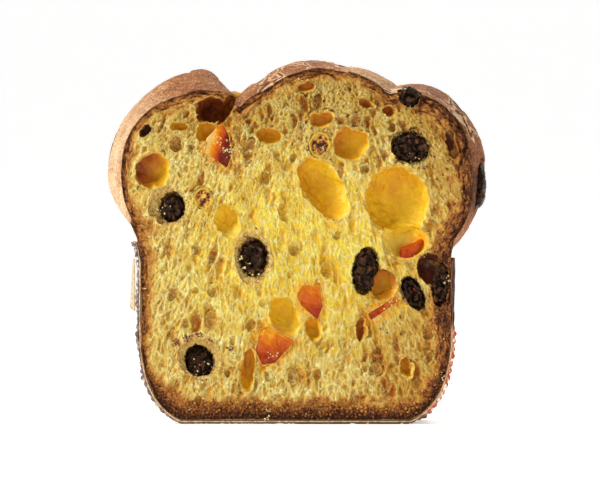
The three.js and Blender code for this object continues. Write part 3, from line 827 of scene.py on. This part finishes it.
def rounded_hollows(points):
    """Draws the flat facets of the hollows' walls out to true rounds. Gives the points, how much of a
    hollow's wall each one is, how brown that wall is, how near its rim, how much of a pale lip it has, and
    how much a raisin has smeared it."""
    wall = np.zeros(len(points))
    brown = np.zeros(len(points))
    rim = np.zeros(len(points))
    lip = np.zeros(len(points))
    smear = np.zeros(len(points))
    for order, (middle, half, lean, shade, painted_left_shade) in enumerate(all_hollows()):
        local = into_hollow(points, middle, half, lean)
        reach = np.linalg.norm(local, axis=1)
        facet = (reach > 0.8) & (reach < 1.0)
        local[facet] /= reach[facet, None]
        points[facet] = out_of_hollow(local[facet], middle, half, lean)
        sunk = np.abs(local[:, 1])
        inside = smooth(1.10, 1.03, reach) * smooth(0.04, 0.25, sunk)
        if order in POCKETS:
            smear = np.maximum(smear, smooth(1.25, 1.0, reach))
            inside *= 0.3
        # Painted shade: each wall is browner towards its top and, by painted_left_shade, towards its left,
        # away from the light from the upper left; it is a little paler close to the cut.
        tone = shade - painted_left_shade * local[:, 0] + 0.10 * local[:, 2] - 0.08 * smooth(0.45, 0.1, sunk)
        brown = np.where(inside > wall, tone, brown)
        wall = np.maximum(wall, inside)
        rim = np.maximum(rim, smooth(1.30, 1.02, reach))
        pale = smooth(1.2, 1.05, reach) * smooth(0.42, 0.16, sunk) * smooth(0.8, 0.4, shade)
        lip = np.maximum(lip, pale)
    # The cleft's walls are as dark as the hollow at its foot
    x, y, z = points.T
    between_cuts = smooth(0.3, 1.2, y - FRONT) * smooth(0.3, 1.2, BACK - y)
    foot = smooth(1.25, 0.9, np.hypot((x + 24.5) / 5.5, (z - 108.5) / 7)) * between_cuts
    brown = np.where(foot > wall, 0.72, brown)
    return points, np.maximum(wall, foot), brown, rim, lip, smear


def toasted_and_lit(points):
    """How dark the outer crust is, from 0 to 1: partly the oven's browning, darker at the top and paler low
    down, and partly painted light, paler towards the left where the light comes from.
    """
    x, _, z = points.T
    toast_and_light = np.interp(x, [-66, -55, -35, -10, 30, 66], [0.26, 0.38, 0.60, 0.62, 0.66, 0.70])
    toast_and_light += 0.06 * smooth(100, 122, z) - 0.14 * smooth(78, 60, z)
    # A darker patch on the right lobe's far side.
    dark_right_patch = smooth(15, 4, np.hypot(x - 62, z - 80))
    # Painted highlight: a paler patch on the dome's right.
    lit = smooth(16, 5, np.hypot(x - 26, z - 117))
    return np.clip(toast_and_light + 0.2 * dark_right_patch - 0.32 * lit, 0, 1)


def distances_to_fruit(points):
    """How far each point is from the whole raisins, from the peel and from the closest fruit of any kind."""
    whole_raisins = [name for name in nodes_like("raisin") if name not in TORN_RAISINS]
    from_torn = away_from(points, TORN_RAISINS, 3.0)
    from_whole = away_from(points, whole_raisins, 3.0)
    from_peel = away_from(points, nodes_like("peel"), 5.0)
    return from_whole, from_peel, np.minimum(np.minimum(from_torn, from_whole), from_peel)


def true_rounds(points, normals, inside, from_fruit):
    """Makes the baked surface and the hollows true rounds again, and closes the sockets in on their fruit.
    Gives what rounded_hollows gives."""
    skin = smooth(1.0, 0.5, inside) * smooth(0.92, 0.75, np.abs(normals[:, 1]))
    points += normals * (skin * np.clip(inside, -0.8, 0.8))[:, None]
    points, *hollow_values = rounded_hollows(points)
    points += normals * (0.15 * smooth(0.6, 0.4, from_fruit))[:, None]
    return points, *hollow_values


def loosened(points, inside, rim, from_fruit):
    """Points with everything soft a little out of true, and most of all the rims of the hollows."""
    loose = (smooth(1.0, 4.0, inside) * smooth(0.5, 2.5, from_fruit))[:, None]
    sway = 0.9 * drifts(points, 8.0, 40) + 0.6 * drifts(points, 2.8, 44)
    sway += 0.7 * rim[:, None] * drifts(points, 1.5, 48)
    return points + loose * sway * (1, 0, 1)


def crust_slits(points, inside, bake):
    """Where the layers of the crust's cut edge have come apart, from 0 to 1."""
    slit = smooth(0.16, 0.0, np.abs(drift(band_place(points, inside) / (9, 6, 1.5), 1.0, 95)))
    slit *= smooth(68, 80, points[:, 2]) * smooth(0.2, 0.4, bake) * smooth(0.5, 1.2, inside)
    return slit


def crust_cracks(points):
    """The fine cracks of the outer crust and the pale flakes beside them, both from 0 to 1."""
    x, _, z = points.T
    line = np.abs(drift((points + 1.5 * drifts(points, 3.0, 74)) / (1, 2, 1), 8.0, 73))
    flaky = smooth(-30, 0, x) * smooth(80, 95, z)
    cracks = smooth(0.07, 0.0, line) * flaky
    flakes = smooth(0.16, 0.09, line) * smooth(0.03, 0.08, line) * flaky
    return cracks, flakes


def painted_glow_share(points):
    """How much painted light coming through the crumb its colour shows, from 0 to 1. Most does in the
    middle.
    """
    x, _, z = points.T
    return smooth(1.0, 0.15, np.hypot((x - 4) / 62, (z - 58) / 50))


def dusky(points):
    """How much painted shade dulls the crumb, towards the right and the top, from 0 to 1."""
    x, _, z = points.T
    dusk = smooth(5, 50, x) * smooth(75, 25, z) + 0.6 * smooth(85, 115, z)
    dusk += 0.9 * smooth(30, 55, x) * smooth(60, 80, z)
    return np.clip(dusk, 0, 1)


def loaf_mesh():
    """The whole loaf as one fine mesh with its relief, and the attributes that its material reads."""
    mesh = remeshed_node("loaf", CRUMB_VOXEL)
    points = place_of(mesh)
    edges = edges_of(mesh)
    sunk = THICKNESS / 2 - np.abs(points[:, 1])
    inside = under_crust(points)
    from_whole, from_peel, from_fruit = distances_to_fruit(points)
    rounds = true_rounds(points, normals_of(mesh), inside, from_fruit)
    points, wall, brown, rim, lip, smear = rounds
    points = relaxed(loosened(points, inside, rim, from_fruit), edges, 1)
    put_place(mesh, points)
    normals = normals_of(mesh)

    skin = smooth(0.9, 0.35, inside) * smooth(0.9, 0.6, np.abs(normals[:, 1]))
    skin = relaxed(skin, edges, 2)
    wall = wall * (1 - skin)
    facing = smooth(0.6, 0.9, np.abs(normals[:, 1]))
    free = np.maximum(smooth(0.35, 1.3, from_fruit), facing * smooth(0.1, 0.5, from_fruit))
    cut = (1 - skin) * (1 - wall) * (1 - 0.3 * rim) * free
    depth, looks, bubble = foam(points)
    # Painted shade: sunk places of the cut get the colour of deep pits.
    looks = np.maximum(looks, 0.5 * smooth(0.3, 1.6, sunk) * (1 - skin) * (1 - 0.7 * smear))
    bake = baked(points, inside)
    crusty = smooth(0.15, 0.6, bake)
    thread = crust_threads(points, inside)
    slit = crust_slits(points, inside, bake)
    cracks, flakes = crust_cracks(points)
    painted_glow = painted_glow_share(points)

    torn = 1.0 * (1 - thread) * smooth(0, 0.6, inside) + 1.2 * slit
    relief = cut * (0.25 + mixed(depth * (1 - 0.5 * painted_glow), torn, crusty))
    relief += wall * (0.15 + 0.15 * drift(points, 1.6, 60))
    relief += skin * (0.38 + 0.24 * drift(points, 6.0, 70) + 0.14 * drift(points, 0.9, 71) + 0.45 * cracks)
    placed = points - normals * relief[:, None]
    placed[:, 1] = np.clip(placed[:, 1], FRONT, BACK)
    put_place(mesh, placed)

    looked_up = {
        "pit": np.clip(mixed(0.12, looks, cut), 0, 1),
        "rusty": smooth(0.86, 0.95, bubble) * smooth(0.3, 0.6, looks) * 0.8,
        "dusk": dusky(points),
        # Painted shade: the slits of the crust's cut edge are coloured browner.
        "bake": np.clip(bake * (1 - 0.85 * wall) + 0.15 * slit, 0, 1),
        "thread": thread,
        "grainy": smooth(22, 9, points[:, 2]),
        "toast_and_light": np.clip(toasted_and_lit(points) + 0.25 * cracks - 0.55 * flakes, 0, 1),
        "wall": wall,
        "brown": brown,
        "lip": lip * (1 - skin),
        "painted_glow": painted_glow,
        "skin": skin,
        "stain": smooth(2.4, 0.2, from_whole) * (1 - skin),
        "smear": smear,
        "candied": smooth(4.5, 0.3, from_peel) * (1 - skin) * (1 - crusty),
    }
    for name, values in looked_up.items():
        put_attribute(mesh, name, values)
    put_directions(mesh, "rise", risen(points))
    put_directions(mesh, "band", band_place(points, inside))
    return mesh


def part_of(mesh, *planes):
    """What a mesh has on the inner side of planes, each (point, outward direction), closed there."""
    part = mesh.copy()
    work = bmesh.new()
    work.from_mesh(part)
    for point, outward in planes:
        everything = work.verts[:] + work.edges[:] + work.faces[:]
        cut = bmesh.ops.bisect_plane(work, geom=everything, plane_co=Vector(point) * MM, plane_no=outward,
                                     clear_outer=True)
        rim = [piece for piece in cut["geom_cut"] if isinstance(piece, bmesh.types.BMEdge)]
        # The fill closes every loop only when it looks down the axis, so some of its faces are then turned
        below = [-abs(share) for share in outward]
        for face in bmesh.ops.triangle_fill(work, use_beauty=True, edges=rim, normal=below)["geom"]:
            if isinstance(face, bmesh.types.BMFace):
                face.normal_update()
                if face.normal.dot(outward) < 0:
                    face.normal_flip()
        for edge in rim:
            edge.smooth = False
    bmesh.ops.triangulate(work, faces=work.faces[:])
    share = min(1.0, PIECE_TRIANGLES / len(work.faces))
    work.to_mesh(part)
    work.free()
    return finished_mesh(part, ("DECIMATE", {"ratio": share}))


def make_loaf(finish):
    whole = loaf_mesh()
    front = ((0, 0, 0), (0, 1, 0))
    back = ((0, 0, 0), (0, -1, 0))
    first, second = SEAMS
    parts = {
        "crumb_front_left": [front, ((first, 0, 0), (1, 0, 0))],
        "crumb_front_middle": [front, ((first, 0, 0), (-1, 0, 0)), ((second, 0, 0), (1, 0, 0))],
        "crumb_front_right": [front, ((second, 0, 0), (-1, 0, 0))],
        "crumb_back_right": [back, ((0, 0, 0), (-1, 0, 0))],
        "crumb_back_left": [back, ((0, 0, 0), (1, 0, 0))],
    }
    for name, planes in parts.items():
        piece_from(part_of(whole, *planes), name, finish, "crumb", "loaf")
    return whole


# ---------------------------------------------------------------------------------------------------
# Fruit
# ---------------------------------------------------------------------------------------------------
RAISIN_VOXEL = 0.24
PEEL_VOXEL = 0.3
SOCKET_GAP = 0.5
TORN_SPREAD = 0.9  # how far the shreds of a torn raisin reach over the rim of its socket
SMOOTH_RAISINS = ("raisin_7",)
TORN_RAISINS = ("raisin_10", "raisin_11")

# How each block of peel runs from yellow to red: the direction (x, z) towards its red end, and how red its
# two ends are
PEEL_LOOKS = {
    "peel_1": ((0.1, -1), 0.15, 0.85),
    "peel_2": ((0.2, -1), 0.35, 0.80),
    "peel_3": ((-0.2, -1), 0.55, 0.85),
    "peel_4": ((-1, -0.6), 0.45, 0.80),
    "peel_5": ((1, -0.3), -0.15, 1.3),
    "peel_6": ((0, -1), 0.0, 0.5),
}
OTHER_PEEL_LOOK = ((0.3, -1), 0.2, 0.9)


def make_raisin(node, seed, finish):
    mesh = remeshed_node(node, RAISIN_VOXEL)
    points = place_of(mesh)
    normals = normals_of(mesh)
    edges = edges_of(mesh)
    sliced = smooth(0.5, 0.1, THICKNESS / 2 - np.abs(points[:, 1]))  # where the knife went through
    torn = node in TORN_RAISINS
    gap = TORN_SPREAD if torn else SOCKET_GAP
    points += normals * (gap * (1 - sliced * smooth(0.5, 0.9, np.abs(normals[:, 1]))))[:, None]
    points = relaxed(points, edges, 3)
    mild = 0.35 if torn or node in SMOOTH_RAISINS else 1.0
    flow = points + 1.3 * drifts(points, 2.6, seed) + 0.5 * drifts(points, 1.1, seed + 30)
    wall, name = bubbles(flow, 2.9, seed + 3)
    lump = bowl(wall, 0.9)
    fine_wall, fine_name = bubbles(flow, 1.0, seed + 11)
    fine = bowl(fine_wall, 0.35)
    depth = 1.2 * (1 - lump) + 0.35 * (1 - fine) * fine_name + mixed(0.15, 1.4, sliced) * name
    depth = relaxed(depth, edges, 1)
    put_place(mesh, points - normals * (0.05 + mild * depth)[:, None])
    # Painted shade: lump is low in the creases, which the finish colours darkest.
    put_attribute(mesh, "lump", np.clip(lump * mixed(0.35, 1.0, 1 - name) * mixed(0.6, 1, fine), 0, 1))
    put_attribute(mesh, "edge", 1 - smooth(0.1, 0.5, wall))
    middle, half = box_of(node)
    reach = np.linalg.norm((points - middle)[:, ::2] / half[::2], axis=1)
    put_attribute(mesh, "worn", smooth(0.75, 1.05, reach))
    piece_from(mesh, node.replace("_", "_fruit_"), finish, "raisin", node)


def make_peel(node, seed, finish):
    mesh = remeshed_node(node, PEEL_VOXEL)
    points = place_of(mesh)
    edges = edges_of(mesh)
    normals = normals_of(mesh)
    sliced = smooth(0.5, 0.1, THICKNESS / 2 - np.abs(points[:, 1]))
    points += normals * (SOCKET_GAP * (1 - sliced * smooth(0.5, 0.9, np.abs(normals[:, 1]))))[:, None]
    points += (1 - sliced)[:, None] * 0.4 * drifts(points, 3.0, seed + 5)
    points = relaxed(points, edges, 8)
    dents = 0.35 + 0.3 * drift(points, 3.5, seed) + 0.15 * drift(points, 1.4, seed + 1)
    points -= normals * (mixed(0.3, 1.0, sliced) * dents)[:, None]
    (toward_x, toward_z), first, last = PEEL_LOOKS.get(node, OTHER_PEEL_LOOK)
    middle, half = box_of(node)
    length = math.hypot(toward_x, toward_z)
    along = ((points[:, 0] - middle[0]) * toward_x + (points[:, 2] - middle[2]) * toward_z) / length
    span = max(half[0] * abs(toward_x), half[2] * abs(toward_z)) / length
    put_place(mesh, points)
    put_attribute(mesh, "ripe", mixed(first, last, smooth(-1, 1, along / span)))
    piece_from(mesh, node.replace("_", "_block_"), finish, "peel", node)


# ---------------------------------------------------------------------------------------------------
# The paper case
# ---------------------------------------------------------------------------------------------------
# How far the ridged sheet's inside, its outside between the ridges and its ridges are from the loaf
RIDGE_INNER = 0.4
RIDGE_LOW = 0.95
RIDGE_HIGH = 1.95
RIDGE_PITCH = 2.5
RIDGES_FROM = 4.0  # above this height the paper is ridged
PAPER_STUCK = 31.0  # above this height the paper of the right side is baked flat onto the loaf
CASE_TOP = {-1: 63.0, 1: 57.2}  # on the left and on the right
PAPER_STEP = 0.42
PAPER_ROWS = 26


def case_line(side, offset, floor_height, ridge=0.0):
    """The line of a sheet on one side, from the middle of the floor up, at this distance from the loaf.
    Ridges stand out from it."""
    line = wall_line()
    length = np.concatenate([[0], np.cumsum(np.linalg.norm(np.diff(line, axis=0), axis=1))])
    top = np.interp(CASE_TOP[side], line[1:, 1], length[1:])
    along = np.append(np.arange(0, top - PAPER_STEP / 2, PAPER_STEP), top)
    points = np.stack([np.interp(along, length, line[:, axis]) for axis in (0, 1)], axis=1)
    direction = np.gradient(points, axis=0)
    direction /= np.linalg.norm(direction, axis=1)[:, None]
    outward = np.stack([direction[:, 1], -direction[:, 0]], axis=1)
    crushed = 0.6 + 0.4 * drift(along[:, None] * (1, 0, 0) + (0, side * 7, 0), 3.7, 230)
    if side > 0:
        crushed *= smooth(PAPER_STUCK + 3, PAPER_STUCK, points[:, 1])
    standing = offset + ridge * crushed * np.abs(np.sin(np.pi * along / RIDGE_PITCH))
    upright = smooth(FLOOR, RIDGES_FROM, points[:, 1])
    points = points + outward * mixed(FLOOR - floor_height, standing, upright)[:, None]
    return points * (side, 1)


def whole_line(*sizes):
    """A sheet's line from its left edge down, across the floor and up to its right edge."""
    return np.concatenate([case_line(-1, *sizes)[::-1], case_line(1, *sizes)[1:]])


def make_sheet(name, finish, inner, outer, seed):
    """A sheet of the case between two lines across the slice, drawn out from the front to the back."""
    work = bmesh.new()
    rows = [[work.verts.new((x * MM, FRONT * MM, z * MM)) for x, z in line] for line in (inner, outer)]
    for i in range(len(inner) - 1):
        work.faces.new((rows[0][i], rows[0][i + 1], rows[1][i + 1], rows[1][i]))
    bmesh.ops.remove_doubles(work, verts=work.verts, dist=1e-6)
    faces = work.faces[:]
    for row in range(PAPER_ROWS):
        grown = bmesh.ops.extrude_face_region(work, geom=faces, use_keep_orig=True)["geom"]
        if row > 0:
            bmesh.ops.delete(work, geom=faces, context="FACES")
        faces = [part for part in grown if isinstance(part, bmesh.types.BMFace)]
        moved = [part for part in grown if isinstance(part, bmesh.types.BMVert)]
        bmesh.ops.translate(work, verts=moved, vec=(0, THICKNESS / PAPER_ROWS * MM, 0))
    bmesh.ops.recalc_face_normals(work, faces=work.faces[:])
    mesh = bpy.data.meshes.new(name)
    work.to_mesh(mesh)
    work.free()
    points = place_of(mesh)
    frayed = smooth(CASE_TOP[1] - 6, CASE_TOP[1], points[:, 2])
    points[:, 2] += frayed * (1.3 * drift(points * (0, 1, 0), 2.4, seed) - 1.3)
    soft = smooth(2, 10, points[:, 2])
    points[:, 0] += soft * (0.25 * drift(points, 6.0, seed + 1) + 0.12 * drift(points, 1.8, seed + 2))
    put_place(mesh, points)
    piece_from(mesh, name, finish, "paper", "paper_case")


def make_flap(finish):
    """The strip of liner that has torn off on the left and stands away from the case."""
    work = bmesh.new()
    bmesh.ops.create_grid(work, x_segments=8, y_segments=16, size=1.0)
    for vert in work.verts:
        across, up = vert.co.x, vert.co.y
        width = 0.6 - 0.25 * up
        vert.co = Vector((-55.5 + 0.2 * up + width * across, -10.8 - 1.5 * across + 0.5 * math.sin(4 * up),
                          47.5 + (8.5 + 0.5 * across) * up)) * MM
    mesh = bpy.data.meshes.new("liner_flap")
    work.to_mesh(mesh)
    work.free()
    sheet = finished_mesh(mesh, ("SOLIDIFY", {"thickness": 0.3 * MM, "offset": 0.0}))
    piece_from(sheet, "liner_flap", finish, "paper")


def make_case():
    make_sheet("case_liner", liner_finish(), whole_line(-0.2, 1.2), whole_line(0.35, 0.72), 210)
    make_sheet("case_ridged_paper", ridged_finish(), whole_line(RIDGE_INNER, 0.45),
               whole_line(RIDGE_LOW, 0.15, RIDGE_HIGH - RIDGE_LOW), 220)
    make_flap(strewn_finish("torn liner", colour(168, 146, 108), colour(204, 188, 146)))


# ---------------------------------------------------------------------------------------------------
# Crumbs, shreds and specks
# ---------------------------------------------------------------------------------------------------
SHREDS = 1500
CRUMBS = 420  # besides those of the clusters
SPECKS = 70

# Clusters on the front cut: x, z, how far they spread, and how many. Pale crumbs that the knife tore up,
# and dark specks of fruit.
CRUMB_CLUSTERS = [
    (-26.0, 95.0, 1.4, 16), (-21.8, 93.5, 1.6, 22), (40.0, 86.0, 2.6, 26), (-15.3, 51.0, 2.2, 20),
    (-18.8, 57.0, 0.9, 10), (-34.0, 15.5, 3.0, 34), (-45.6, 37.6, 0.9, 18), (51.0, 16.0, 1.2, 18),
    (-9.9, 1.9, 0.5, 8), (-45.5, 73.6, 0.9, 10), (9.5, 92.5, 1.4, 14), (32.0, 40.6, 1.4, 12),
    (50.5, 49.0, 1.6, 12), (-7.8, 23.3, 0.8, 8), (8.0, 50.0, 1.8, 12), (-38.0, 100.0, 4.0, 20),
]
SPECK_CLUSTERS = [
    (-15.0, 62.5, 1.8, 12), (-40.3, 27.6, 0.7, 12), (-37.2, 29.8, 0.7, 12), (-33.4, 30.4, 0.7, 10),
    (-29.6, 28.6, 0.6, 6), (-22.0, 26.0, 1.2, 10), (47.0, 88.0, 2.0, 12),
    (9.0, 94.0, 3.4, 26), (26.0, 34.0, 4.0, 10), (-30.5, 76.5, 2.4, 12), (40.0, 99.0, 3.0, 10),
]


def grain_shape():
    """The corners and faces of a small ball, which each grain reshapes."""
    work = bmesh.new()
    bmesh.ops.create_icosphere(work, subdivisions=1, radius=1.0)
    work.verts.index_update()
    corners = np.array([vert.co[:] for vert in work.verts])
    faces = np.array([[vert.index for vert in face.verts] for face in work.faces])
    work.free()
    return corners, faces


def strewn_piece(name, places, sizes, bend, finish, slot, random):
    """Many small grains as one mesh. Sizes are half lengths along a grain's own three axes, in mm."""
    corners, faces = grain_shape()
    count = len(places)
    shapes = np.repeat(corners[None], count, axis=0)
    shapes *= 1 + 0.35 * random.uniform(-1, 1, (count, len(corners), 1))
    shapes *= sizes[:, None, :]
    curl = shapes[:, :, 2] ** 2 * (bend / np.maximum(sizes[:, 2], 0.1))[:, None]
    shapes[:, :, 0] += curl
    # Each lies along the cut, turned at random in it
    turned = random.uniform(0, 2 * np.pi, count)
    across, along = np.cos(turned), np.sin(turned)
    nothing, whole = np.zeros(count), np.ones(count)
    turn = np.stack([across, nothing, along, nothing, whole, nothing, -along, nothing, across], axis=1)
    shapes = np.einsum("nij,nkj->nki", turn.reshape(-1, 3, 3), shapes) + places[:, None, :]
    mesh = bpy.data.meshes.new(name)
    indices = faces[None] + (np.arange(count) * len(corners))[:, None, None]
    mesh.from_pydata((shapes.reshape(-1, 3) * MM).tolist(), [], indices.reshape(-1, 3).tolist())
    piece_from(mesh, name, finish, slot)


def clustered(clusters, random):
    """Places about the middles of clusters on the front cut, but not over its open hollows."""
    places = [random.normal((x, 0.2, z), (spread, 0.1, spread), (count, 3))
              for x, z, spread, count in clusters]
    places = np.concatenate(places) + (0, FRONT, 0)
    for order, (middle, half, lean, _, _) in enumerate(all_hollows()):
        reach = np.linalg.norm(into_hollow(places, middle, half, lean), axis=1)
        if order not in POCKETS:
            places = places[reach > 1.15]
    return places


def strew(whole):
    """Loose crumbs and torn shreds on the cut faces, and dark specks that the knife dragged off the
    fruit."""
    random = np.random.default_rng(5)
    points = place_of(whole)
    normals = normals_of(whole)
    values = {}
    for name in ("pit", "skin", "bake", "wall"):
        values[name] = np.empty(len(points), np.float32)
        whole.attributes[name].data.foreach_get("value", values[name])
    on_cut = (values["skin"] < 0.1) & (np.abs(points[:, 1]) > 9.5)
    raised = on_cut & (values["pit"] < 0.25) & (values["wall"] < 0.1) & (values["bake"] < 0.75)

    def pick(allowed, weight, count):
        weight = np.where(allowed, weight, 0)
        chosen = random.choice(len(points), count, replace=False, p=weight / weight.sum())
        return points[chosen] - np.sign(points[chosen]) * (0, 0.25, 0), normals[chosen]

    patchy = 0.15 + smooth(0.1, 0.8, drift(points, 11.0, 300))
    at, up = pick(raised, patchy, SHREDS)
    thick = random.uniform(0.10, 0.17, (SHREDS, 1))
    long = random.uniform(0.35, 1.1, (SHREDS, 1))
    sizes = thick * (1, 1, 0) + long * (0, 0, 1)
    strewn_piece("torn_shreds", at + 0.1 * up, sizes, random.uniform(-1, 1, SHREDS),
                 strewn_finish("torn crumb", colour(228, 198, 112), colour(244, 226, 160)), "crumb", random)

    near_fruit = closeness(points, "raisin", 0.7, 1.5) * on_cut
    at = pick(on_cut, patchy * 0.3 + 3 * near_fruit, CRUMBS)[0]
    at = np.concatenate([at, clustered(CRUMB_CLUSTERS, random)])
    sizes = random.uniform(0.12, 0.36, (len(at), 1)) * random.uniform(0.5, 1.5, (len(at), 3))
    strewn_piece("loose_crumbs", at, sizes, random.uniform(-0.5, 0.5, len(at)),
                 strewn_finish("loose crumb", colour(206, 172, 104), colour(238, 218, 160)), "crumb", random)

    at = pick(on_cut, np.ones(len(points)), SPECKS)[0]
    at = np.concatenate([at, clustered(SPECK_CLUSTERS, random)])
    sizes = random.uniform(0.16, 0.42, (len(at), 1)) * (1, 0.5, 1.3)
    strewn_piece("fruit_specks", at, sizes, np.zeros(len(at)),
                 strewn_finish("raisin specks", colour(74, 34, 26), colour(132, 66, 38)), "raisin", random)


# ---------------------------------------------------------------------------------------------------
# Floor, light and camera
# ---------------------------------------------------------------------------------------------------
def make_stage():
    """A pale table that sweeps up into a pale backdrop."""
    work = bmesh.new()
    bmesh.ops.create_grid(work, x_segments=1, y_segments=1, size=3.0)
    rear = [edge for edge in work.edges if all(vert.co.y > 0 for vert in edge.verts)]
    wall = bmesh.ops.extrude_edge_only(work, edges=rear)["geom"]
    top = [part for part in wall if isinstance(part, bmesh.types.BMVert)]
    bmesh.ops.translate(work, verts=top, vec=(0, 0, 4))
    fold = [edge for edge in work.edges if all(vert.co.y > 0 and vert.co.z < 1 for vert in edge.verts)]
    bmesh.ops.bevel(work, geom=fold, offset=1.2, offset_type="OFFSET", affect="EDGES", segments=16,
                    profile=0.5, material=-1)
    bmesh.ops.recalc_face_normals(work, faces=work.faces[:])
    mesh = bpy.data.meshes.new("table and backdrop")
    work.to_mesh(mesh)
    work.free()
    mesh.shade_smooth()
    table = bpy.data.objects.new("table and backdrop", mesh)
    bpy.context.scene.collection.objects.link(table)
    finish = Finish("pale table")
    shade = finish.ramp(
        finish.noise(3.0, detail=2), (0.0, colour(250, 250, 250)), (1.0, colour(254, 254, 254)))
    mesh.materials.append(finish.done({
        "Base Color": shade, "Roughness": 0.9, "Emission Color": (1, 1, 1, 1), "Emission Strength": 0.45,
    }))


def make_light(name, place, target, size, power, tint):
    lamp = bpy.data.lights.new(name, "AREA")
    lamp.shape = "RECTANGLE"
    lamp.size, lamp.size_y = size
    lamp.energy = power
    lamp.color = tint
    holder = bpy.data.objects.new(name, lamp)
    holder.location = place
    holder.rotation_euler = (Vector(target) - Vector(place)).to_track_quat("-Z", "Y").to_euler()
    bpy.context.scene.collection.objects.link(holder)


def make_lights():
    world = bpy.data.worlds.new("studio")
    world.use_nodes = True
    world.node_tree.nodes["Background"].inputs["Color"].default_value = (1, 1, 1, 1)
    world.node_tree.nodes["Background"].inputs["Strength"].default_value = 0.36
    bpy.context.scene.world = world
    middle = (0, 0, 0.065)
    make_light("key from the left", (-0.80, -0.42, 0.72), middle, (0.35, 0.35), 11.0, (1.0, 0.985, 0.95))
    make_light("warm light behind", (0.25, 0.6, 0.7), middle, (0.5, 0.3), 6.0, (1.0, 0.86, 0.66))


# The camera stands level with the middle of the slice. The photo is 600 pixels wide.
CAMERA_AWAY = 900.0
CAMERA_X = 1.36
CAMERA_Z = 62.7
MM_PER_PIXEL = 0.34  # at the front face
PHOTO_WIDTH = 600


def make_camera():
    camera = bpy.data.cameras.new("camera")
    camera.sensor_width = 36.0
    camera.lens = camera.sensor_width * (CAMERA_AWAY + FRONT) / (MM_PER_PIXEL * PHOTO_WIDTH)
    holder = bpy.data.objects.new("camera", camera)
    holder.location = (CAMERA_X * MM, -CAMERA_AWAY * MM, CAMERA_Z * MM)
    holder.rotation_euler = (math.pi / 2, 0, 0)
    bpy.context.scene.collection.objects.link(holder)
    bpy.context.scene.camera = holder


make_camera()
make_lights()
make_stage()
loaf = make_loaf(crumb_finish())
raisin_skin = raisin_finish()
torn_skin = torn_raisin_finish()
for order, raisin in enumerate(nodes_like("raisin")):
    make_raisin(raisin, 400 + 20 * order, torn_skin if raisin in TORN_RAISINS else raisin_skin)
peel_glaze = peel_finish()
for order, peel in enumerate(nodes_like("peel")):
    make_peel(peel, 800 + 20 * order, peel_glaze)
make_case()
strew(loaf)
bpy.context.scene.view_settings.view_transform = "Standard"
